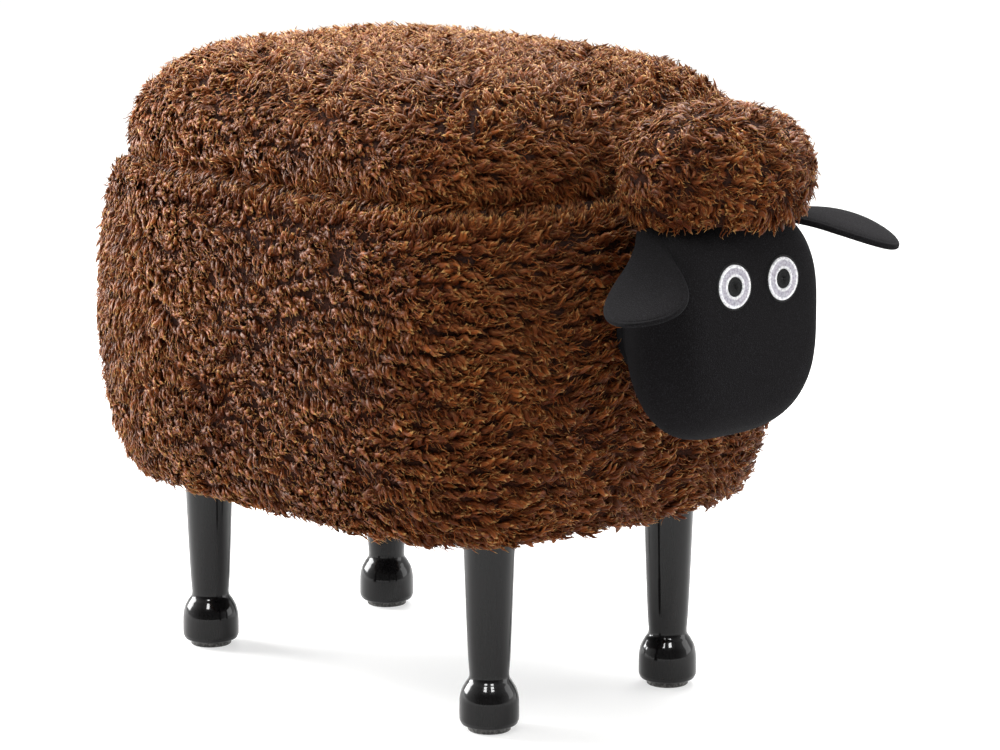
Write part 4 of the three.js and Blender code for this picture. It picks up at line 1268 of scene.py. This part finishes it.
# %% Topknot
TOPKNOT_POWER, TOPKNOT_PLAN_POWER = 2.3, 2.0
TOPKNOT_BOTTOM_SHARE = -0.6
TOPKNOT_HALF_HEIGHT = 51.0
TOPKNOT_LIE, TOPKNOT_SPREAD, TOPKNOT_SIZE = -0.9, 0.9, 60
HEAD_CLEAR = 1.02
topknot_low, topknot_high = box_mm("topknot")
TOPKNOT_MIDDLE = ((topknot_low[0] + topknot_high[0]) / 2, 0.0)
TOPKNOT_HALF_LENGTH = (topknot_high[0] - topknot_low[0]) / 2
TOPKNOT_HALF_WIDTH = topknot_high[1]
TOPKNOT_MIDDLE_Z = topknot_high[2] - TOPKNOT_HALF_HEIGHT


def dome_path(shrink=0.0):
    share = np.concatenate([np.linspace(TOPKNOT_BOTTOM_SHARE, 0.9, 34), np.linspace(0.91, 0.9995, 14)])
    size = (1 - np.abs(share) ** TOPKNOT_POWER) ** (1 / TOPKNOT_POWER)
    return np.stack(
        [
            (TOPKNOT_HALF_LENGTH - shrink) * size,
            (TOPKNOT_HALF_WIDTH - shrink) * size,
            TOPKNOT_MIDDLE_Z + (TOPKNOT_HALF_HEIGHT - shrink) * share,
        ],
        1,
    )


def dome_bed(places):
    return places.point - places.out * PILE_DEPTH


def dome_field(places):
    return TOPKNOT_LIE + TOPKNOT_SPREAD * slow_noise(places.point, TOPKNOT_SIZE, 9)


def outside_head(places):
    return head_measure(places.point) > HEAD_CLEAR


TOPKNOT_CHANGES = dict(calm=0, tuft=6.5, flatten=1.3, start=56, end=10, tuft_turn=0.45, flip=0.2)
topknot_styles = (
    dict(SIDE_LOCKS, **TOPKNOT_CHANGES, length=11.5, width=3.9),
    dict(SIDE_STRANDS, **TOPKNOT_CHANGES, length=11.5),
)
fleece(
    "topknot_fleece", dome_path(), dome_bed, dome_field, topknot_styles, 31, BOX, outside_head,
    power=TOPKNOT_PLAN_POWER, middle=TOPKNOT_MIDDLE,
)


def topknot_backing():
    path = dome_path(shrink=PILE_DEPTH)
    bottom = [path[0] * (share, share, 1) for share in np.linspace(0.05, 0.95, 12)]
    loops = carry_round(np.concatenate([bottom, path]), TOPKNOT_PLAN_POWER, TOPKNOT_MIDDLE, around=120)
    points, faces = skin(loops)
    return make_object("topknot_backing", clear_of_head(points, HEAD_GAP), faces, fleece_backing)


topknot = topknot_backing()
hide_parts("topknot")
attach(topknot, BOX)
print("topknot:", len(topknot.data.polygons), "faces")

# %% [markdown]
# ## The legs
# Turned beech in a satin-gloss black lacquer. A lathe makes such a leg, so the mesh is made the same
# way: one profile, carried round an axis. Each foot has a moulded glide on a pin. The lacquer is
# smooth, and shows windows as small bright marks, with a faint long grain under it.

# %% Legs
FOOT_RADIUS, FOOT_HEIGHT = 20.8, 31.0
ANKLE_RADIUS, LEG_TOP_RADIUS = 14.0, 18.5
BOLT_BORE, BOLT_BORE_DEPTH = 4.3, 26.3
PIN_BORE, PIN_BORE_DEPTH = 2.3, 10.0
GLIDE_THICKNESS, GLIDE_PIN_RADIUS = 4.0, 2.0
SHARP_DEGREES = 38
# grain lines of the wood, drawn out along the leg
GRAIN_MM, GRAIN_STRETCH_SHARE, GRAIN_RELIEF_MM = 1.5, 0.06, 0.05
# radius and height on the foot
FOOT_SHARES = [(0.87, 0), (0.935, 0.025), (0.975, 0.08), (1, 0.16)]
FOOT_SHARES += [(1, 0.46), (0.985, 0.62), (0.92, 0.8), (0.8, 0.95)]
# radius on its way from the ankle to the top, and height on the foot's scale
ANKLE_SHARES = [(0, 1.1), (0.055, 1.34), (0.19, 1.63), (0.47, 2.53), (0.86, 4.0)]
# how far in and how high the glide's rounded edge lies
GLIDE_EDGE = [(1.2, 0), (0.5, 0.15), (0.12, 0.5), (0, 1.1)]


def lacquer_material():
    made, tree, shader = new_material(
        "beech_black_lacquer",
        Roughness=0.3,
        Specular_IOR_Level=0.05,
        Coat_Weight=0.49,
        Coat_Roughness=0.03,
    )
    place = add_node(tree, "ShaderNodeTexCoord").outputs["Object"]
    stretched = add_node(
        tree,
        "ShaderNodeMapping",
        values={"Scale": (1.0, 1.0, GRAIN_STRETCH_SHARE)},
        links={"Vector": place},
    )
    grain = add_node(
        tree,
        "ShaderNodeTexNoise",
        values={"Scale": 1 / (GRAIN_MM * MM), "Detail": 3.0},
        links={"Vector": stretched.outputs["Vector"]},
    )
    add_node(
        tree,
        "ShaderNodeValToRGB",
        links={"Fac": grain.outputs["Fac"]},
        stops=[(0.3, "#070606"), (0.7, "#0D0B0C")],
        to={"Color": shader.inputs["Base Color"]},
    )
    add_node(
        tree,
        "ShaderNodeBump",
        values={"Distance": GRAIN_RELIEF_MM * MM, "Strength": 0.6},
        links={"Height": grain.outputs["Fac"]},
        to={"Normal": shader.inputs["Normal"]},
    )
    return made


def patterned_material(name, kind, size_mm, stops, bump_mm, output, stretch=(1, 1, 1), **surface):
    """A material whose colour and relief follow one pattern of a real size."""
    made, tree, shader = new_material(name, **surface)
    place = add_node(tree, "ShaderNodeTexCoord").outputs["Object"]
    laid = add_node(tree, "ShaderNodeMapping", values={"Scale": stretch}, links={"Vector": place})
    pattern = add_node(
        tree, kind, values={"Scale": 1 / (size_mm * MM)}, links={"Vector": laid.outputs["Vector"]}
    ).outputs[output]
    add_node(
        tree,
        "ShaderNodeValToRGB",
        links={"Fac": pattern},
        stops=stops,
        to={"Color": shader.inputs["Base Color"]},
    )
    add_node(
        tree,
        "ShaderNodeBump",
        values={"Distance": bump_mm * MM},
        links={"Height": pattern},
        to={"Normal": shader.inputs["Normal"]},
    )
    return made


lacquer = lacquer_material()
# polythene glides, scuffed in marks about 2 mm long
glide_plastic = patterned_material(
    "polythene_black_moulded", "ShaderNodeTexNoise", 2.0,
    [(0.4, "#2A2927"), (0.75, "#6E6C69")], 0.1, "Fac", Roughness=0.5, Specular_IOR_Level=0.4,
)


def lathe(name, profile, centre, material, sides=80):
    """A profile of (radius, height) carried round an upright axis."""
    angle = np.linspace(0, 2 * math.pi, sides, endpoint=False)
    loops = [
        np.stack([centre[0] + r * np.cos(angle), centre[1] + r * np.sin(angle), z + 0 * angle], 1)
        for r, z in profile
    ]
    made = make_object(name, *skin(loops), material)
    made.data.set_sharp_from_angle(angle=math.radians(SHARP_DEGREES))
    return made


def leg_profile(low, high):
    foot = [(FOOT_RADIUS * r, low + FOOT_HEIGHT * up) for r, up in FOOT_SHARES]
    taper = LEG_TOP_RADIUS - ANKLE_RADIUS
    shank = [(ANKLE_RADIUS + taper * r, low + FOOT_HEIGHT * up) for r, up in ANKLE_SHARES]
    side = smooth_through(foot + shank + [(LEG_TOP_RADIUS, high)], 8)
    bores = [(PIN_BORE, low + PIN_BORE_DEPTH), (PIN_BORE, low)]
    return bores + [tuple(p) for p in side] + [(BOLT_BORE, high), (BOLT_BORE, high - BOLT_BORE_DEPTH)]


def glide_profile(radius, top):
    edge = [(radius - inset, up) for inset, up in GLIDE_EDGE]
    return edge + [(radius, GLIDE_THICKNESS), (GLIDE_PIN_RADIUS, GLIDE_THICKNESS), (GLIDE_PIN_RADIUS, top)]


for corner in ("front_left", "front_right", "rear_left", "rear_right"):
    low, high = box_mm("leg_" + corner)
    centre = (low + high) / 2
    leg = lathe(f"leg_{corner}_turned", leg_profile(low[2], high[2]), centre, lacquer)
    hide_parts("leg_" + corner)
    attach(leg, BOX)
    glide_low, glide_high = box_mm("glide_" + corner)
    profile = glide_profile((glide_high[0] - glide_low[0]) / 2, glide_high[2])
    glide = lathe(f"glide_{corner}_moulded", profile, centre, glide_plastic)
    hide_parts("glide_" + corner)
    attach(glide, BOX)
print("legs: 4, each", round(high[2] - low[2]), "mm long")

# %% [markdown]
# ## Materials for what shows when the lid is open
# Inside are a nonwoven lining, plywood, hardboard, foam and zinc-plated hinges. Those that only show
# at an edge keep their construction solid, since its shape is already true, and get a material made
# as the real one is: pressed, sawn, foamed or plated.


# %% Inner materials
# pressed nonwoven: bonded points about 1.5 mm apart
nonwoven = patterned_material(
    "polypropylene_black_nonwoven", "ShaderNodeTexVoronoi", 1.5,
    [(0, "#0E0E0F"), (0.6, "#1E1E21")], 0.3, "Distance", Roughness=0.85, Sheen_Weight=0.05,
)
# rotary-cut veneer: grain drawn out along the board
plywood = patterned_material(
    "plywood_sawn", "ShaderNodeTexNoise", 4.0,
    [(0.3, "#9C7546"), (0.55, "#C9A470"), (0.75, "#D8B98A")], 0.1, "Fac",
    stretch=(0.08, 1, 3), Roughness=0.7,
)
hardboard = patterned_material(
    "hardboard_pressed", "ShaderNodeTexNoise", 1.5,
    [(0.3, "#5E3F26"), (0.7, "#8A6341")], 0.1, "Fac", Roughness=0.75,
)
foam = patterned_material(
    "polyether_foam", "ShaderNodeTexVoronoi", 1.2,
    [(0, "#CFC298"), (0.7, "#EDE4C4")], 0.4, "Distance", Roughness=0.95,
)
wadding = patterned_material(
    "polyester_wadding", "ShaderNodeTexNoise", 3.0,
    [(0.3, "#DADAD6"), (0.7, "#F4F4F1")], 0.8, "Fac", Roughness=1.0,
)
# zinc plate: bright crystals a few tenths of a millimetre wide, drawn at 1 mm
zinc = patterned_material(
    "zinc_plated_steel", "ShaderNodeTexVoronoi", 1.0,
    [(0, "#A9ACB1"), (0.8, "#C3C6CA")], 0.02, "Distance", Roughness=0.32, Metallic=1.0,
)

NODE_FINISHES = {
    "base_panel": plywood, "rim_ring": plywood, "lid_board": plywood, "head_board": plywood,
    "wall_shell": hardboard, "foam_wrap": foam, "lid_foam": foam, "head_stuffing": wadding,
}
for name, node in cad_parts.items():
    if not node.hide_render:
        node.data.materials.clear()
        node.data.materials.append(NODE_FINISHES.get(name, zinc))
print("carried-over nodes:", sum(not node.hide_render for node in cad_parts.values()))

# %% [markdown]
# ## Linings
# The box is lined with nonwoven cloth: a floor, a wall with a few soft ripples, and a hem stitched
# inside the rim. Another sheet closes the lid from below, and a third keeps dust out of the base.
# Cloth that is stapled tight hardly moves, so it is drawn as a section and carried round, like the
# fleece, with the ripples added. Round holes let the bolts and washers through.

# %% Linings
CLOTH = 1.2
HEM_WIDTH, HEM_STEP, HEM_STITCH, HEM_ROUND = 9.0, 0.5, 1.0, 0.8
LINING_WALL_INSET, LINING_NECK_INSET, LINING_UNDER_RIM = 42.3, 64.3, 355.0
CLOTH_STEP, FLOOR_LOOPS, CORNER_ROUND, RIM_ROUND = 6, 34, 3, 5
RIPPLE, RIPPLE_SIZE, RIPPLE_STRETCH = 1.4, 60, (1, 1, 0.3)
FLOOR_BUMP, FLOOR_BUMP_SIZE = 0.4, 90
# heights over the floor and under the rim where the ripples fade
FADE_FLOOR, FADE_RIM = (4, 40), (40, 8)
WASHER_GAP, BOLT_GAP = 1.5, 0.3
HOLE_SIDES, CUTTER_LENGTH = 40, 40
EDGE_ROUND, EDGE_INSET, HEM_SLOPE, HEM_LIFT = 0.3, 0.4, 2, 0.25


def in_steps(points, step=CLOTH_STEP):
    """A line through the points, cut into even steps."""
    line = []
    for a, b in zip(points, points[1:]):
        count = max(1, math.ceil(math.dist(a, b) / step))
        line += [tuple(np.array(a) + (np.array(b) - a) * k / count) for k in range(count)]
    return line + [points[-1]]


def floor_path(inset, z):
    shares = np.linspace(0.03, 0.99, FLOOR_LOOPS)
    return [((HALF_LENGTH - inset) * s, (HALF_WIDTH - inset) * s, z) for s in shares]


def hole_cutter(low, high, axis, gap):
    """A cylinder along an axis, a gap wider than the box from low to high."""
    radius = ((high - low)[(axis + 1) % 3] / 2 + gap) * MM
    turn = Quaternion((0, 1, 0), math.pi / 2 if axis == 0 else 0).to_matrix().to_4x4()
    form = bmesh.new()
    bmesh.ops.create_cone(
        form,
        cap_ends=True,
        segments=HOLE_SIDES,
        radius1=radius,
        radius2=radius,
        depth=CUTTER_LENGTH * MM,
        matrix=Matrix.Translation((low + high) / 2 * MM) @ turn,
    )
    cutter = bpy.data.objects.new("cutter", bpy.data.meshes.new("cutter"))
    form.to_mesh(cutter.data)
    form.free()
    scene.collection.objects.link(cutter)
    return cutter


def bored(made, prefix, axis, gap):
    """Round holes through a piece, one for each node whose name starts with the prefix."""
    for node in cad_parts:
        if not node.startswith(prefix):
            continue
        cutter = hole_cutter(*box_mm(node), axis, gap)
        modifier = made.modifiers.new("hole", "BOOLEAN")
        modifier.object, modifier.solver, modifier.operation = cutter, "EXACT", "DIFFERENCE"
        found = made.evaluated_get(bpy.context.evaluated_depsgraph_get())
        mesh = bpy.data.meshes.new_from_object(found)
        made.modifiers.clear()
        made.data = mesh
        bpy.data.objects.remove(cutter)
    return made


def rippled(inner, low, under, front_count):
    """The lining's inner loops, rippled on the wall and a little uneven on the floor."""
    z = inner[..., 2]
    toward = unit((MIDDLE_X, 0, 0) - inner * (1, 1, 0))
    over_floor = ease(z, low + FADE_FLOOR[0], low + FADE_FLOOR[1])
    under_rim = 1 - ease(z, under - FADE_RIM[0], under - FADE_RIM[1])
    flat = inner.reshape(-1, 3) * RIPPLE_STRETCH
    ripple = RIPPLE * (0.5 + 0.5 * slow_noise(flat, RIPPLE_SIZE, 41)).reshape(z.shape)
    moved = inner + toward * (ripple * over_floor * under_rim)[..., None]
    bumps = FLOOR_BUMP * (1 + slow_noise(flat, FLOOR_BUMP_SIZE, 43)).reshape(z.shape)
    level = (z < low + CLOTH + 0.1) & (np.arange(len(inner)) > front_count)[:, None]
    moved[..., 2] += np.where(level, np.clip(bumps, 0, 1), 0)
    return moved


def storage_lining():
    low, high = box_mm("storage_lining")
    wall, neck, under = LINING_WALL_INSET, LINING_NECK_INSET, LINING_UNDER_RIM
    floor, stitch = low[2] + CLOTH, high[2] - HEM_WIDTH
    front_wall, front_neck = wall + CLOTH, neck + CLOTH
    hem = front_neck + CLOTH
    back = in_steps([(wall, low[2]), (wall, under), (neck, under), (neck, high[2])])
    front = [(front_neck, high[2]), (hem, high[2] - HEM_ROUND)]
    front += [(hem, stitch + HEM_STITCH), (front_neck, stitch)]
    front += in_steps([(front_neck, under - CLOTH), (front_wall, under - CLOTH)])
    front += in_steps([(front_wall, under - RIM_ROUND), (front_wall, floor + CORNER_ROUND)])
    front += [(front_wall + CORNER_ROUND, floor)]
    shell = floor_path(wall, low[2]) + as_path(back) + as_path(front)
    shell += floor_path(front_wall + CORNER_ROUND, floor)[::-1]
    loops = np.array(carry_round(shell, around=240))
    start = len(shell) - FLOOR_LOOPS - len(front)
    loops[start:] = rippled(loops[start:], low[2], under, len(front))
    made = make_object("storage_lining_sewn", *skin([list(loop) for loop in loops]), nonwoven)
    return bored(made, "head_washer", 0, WASHER_GAP)


def cloth_sheet(name):
    """A flat sheet whose edge is turned in and stitched, with the seam on its lower side."""
    low, high = box_mm(name)
    inset = HALF_WIDTH - high[1]
    hem = [(0, EDGE_ROUND), (EDGE_INSET, 0), (HEM_WIDTH - HEM_STITCH, 0), (HEM_WIDTH, HEM_STEP)]
    edge = [(inset, high[2] - EDGE_ROUND)] + [(inset + d, low[2] + up) for d, up in hem]
    middle = floor_path(inset + HEM_WIDTH + HEM_SLOPE, low[2] + HEM_LIFT)[::-1]
    loops = carry_round(floor_path(inset, high[2]) + as_path(edge) + middle, around=200)
    return make_object(name + "_sewn", *skin([list(loop) for loop in loops[::-1]]), nonwoven)


sewn_linings = [
    (storage_lining(), "storage_lining", BOX),
    (cloth_sheet("lid_lining"), "lid_lining", LID),
    (bored(cloth_sheet("dust_cover"), "leg_bolt", 2, BOLT_GAP), "dust_cover", BOX),
]
for made, node, body in sewn_linings:
    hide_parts(node)
    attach(made, body)
    print(made.name, "has", len(made.data.polygons), "faces")

# %% [markdown]
# ## Floor and light
# A white table lit from within and a white room, as for a catalogue picture. Large soft lights
# stand to the left, the right and above, and the front stays darker, which gives the fleece its pale
# edges. A gradient over the room's directions does that without one more lamp. Four lights in front,
# like the panes of a window, shine back from the feet and other gloss, and give no diffuse light. A
# fill above the camera lifts the front, and doesn't show in the lacquer.

# %% Studio
scene.view_settings.view_transform = "Standard"
scene.world = bpy.data.worlds.new("studio")
scene.world.use_nodes = True
FRONT_SHARE, ROOM_SHARE = 0.18, 1.1
FRONT_FROM, FRONT_TO = -0.1, 0.85
LIGHT_TARGET = Vector((MIDDLE_X * MM, 0, 0.25))
# each pane's turn from the camera and its rise, in degrees
PANES = [(-18, 46), (18, 46), (-26, 68), (26, 68)]
FLOOR_HALF = 30000.0
TABLE_GRAIN_MM, TABLE_RELIEF_MM = 2.5, 0.05


def studio_room():
    """A white room whose wall on the camera's side is darker, from one gradient over directions."""
    tree = scene.world.node_tree
    direction = add_node(tree, "ShaderNodeTexCoord").outputs["Generated"]
    toward = add_node(
        tree,
        "ShaderNodeVectorMath",
        operation="DOT_PRODUCT",
        values={1: (math.sin(CAMERA_TURN), -math.cos(CAMERA_TURN), 0.0)},
        links={0: direction},
    )
    strength = add_node(
        tree,
        "ShaderNodeMapRange",
        interpolation_type="SMOOTHSTEP",
        values={"From Min": FRONT_FROM, "From Max": FRONT_TO, "To Min": ROOM_SHARE, "To Max": FRONT_SHARE},
        links={"Value": toward.outputs["Value"]},
    )
    back = tree.nodes["Background"]
    back.inputs["Color"].default_value = (1, 1, 1, 1)
    tree.links.new(strength.outputs["Result"], back.inputs["Strength"])


def soft_light(name, place, size, power):
    lamp = bpy.data.lights.new(name, "AREA")
    lamp.shape = "RECTANGLE"
    lamp.size, lamp.size_y, lamp.energy = size[0], size[1], power
    made = bpy.data.objects.new(name, lamp)
    made.location = place
    made.rotation_euler = (Vector(place) - LIGHT_TARGET).to_track_quat("Z", "Y").to_euler()
    scene.collection.objects.link(made)
    return made


def around_camera(turn_degrees, rise_degrees, distance):
    """A place in metres, turned from the camera's direction, and raised from the floor."""
    turn = CAMERA_TURN + math.radians(turn_degrees)
    rise = math.radians(rise_degrees)
    return (
        MIDDLE_X * MM + distance * math.sin(turn) * math.cos(rise),
        -distance * math.cos(turn) * math.cos(rise),
        distance * math.sin(rise),
    )


def studio_floor():
    made, tree, shader = new_material(
        "acrylic_table_lit",
        Roughness=0.9,
        Base_Color=linear("#B4B4B3"),
        Emission_Color=linear("#FFFFFF"),
        Emission_Strength=0.58,
    )
    place = add_node(tree, "ShaderNodeTexCoord").outputs["Object"]
    scale = 1 / (TABLE_GRAIN_MM * MM)
    grain = add_node(tree, "ShaderNodeTexNoise", values={"Scale": scale}, links={"Vector": place})
    add_node(
        tree,
        "ShaderNodeBump",
        values={"Distance": TABLE_RELIEF_MM * MM},
        links={"Height": grain.outputs["Fac"]},
        to={"Normal": shader.inputs["Normal"]},
    )
    corners = [(x * FLOOR_HALF, y * FLOOR_HALF, 0) for x, y in ((-1, -1), (1, -1), (1, 1), (-1, 1))]
    floor = make_object("studio_floor", corners, [(0, 1, 2, 3)], made)


studio_room()
soft_light("left_light", around_camera(-114, 24, 2.4), (1.2, 1.4), 132)
soft_light("right_light", around_camera(95, 18, 2.4), (1.2, 1.4), 16)
soft_light("top_light", around_camera(165, 62, 2.2), (1.5, 1.5), 82)
for number, (turn, rise) in enumerate(PANES, start=1):
    pane = soft_light(f"window_pane_{number}", around_camera(turn, rise, 2.0), (0.36, 0.36), 16.0)
    pane.visible_diffuse = False
fill = soft_light("front_fill", around_camera(0, 57, 2.0), (0.8, 0.8), 13)
fill.visible_glossy = False
studio_floor()
print("studio: 8 lights and a floor")
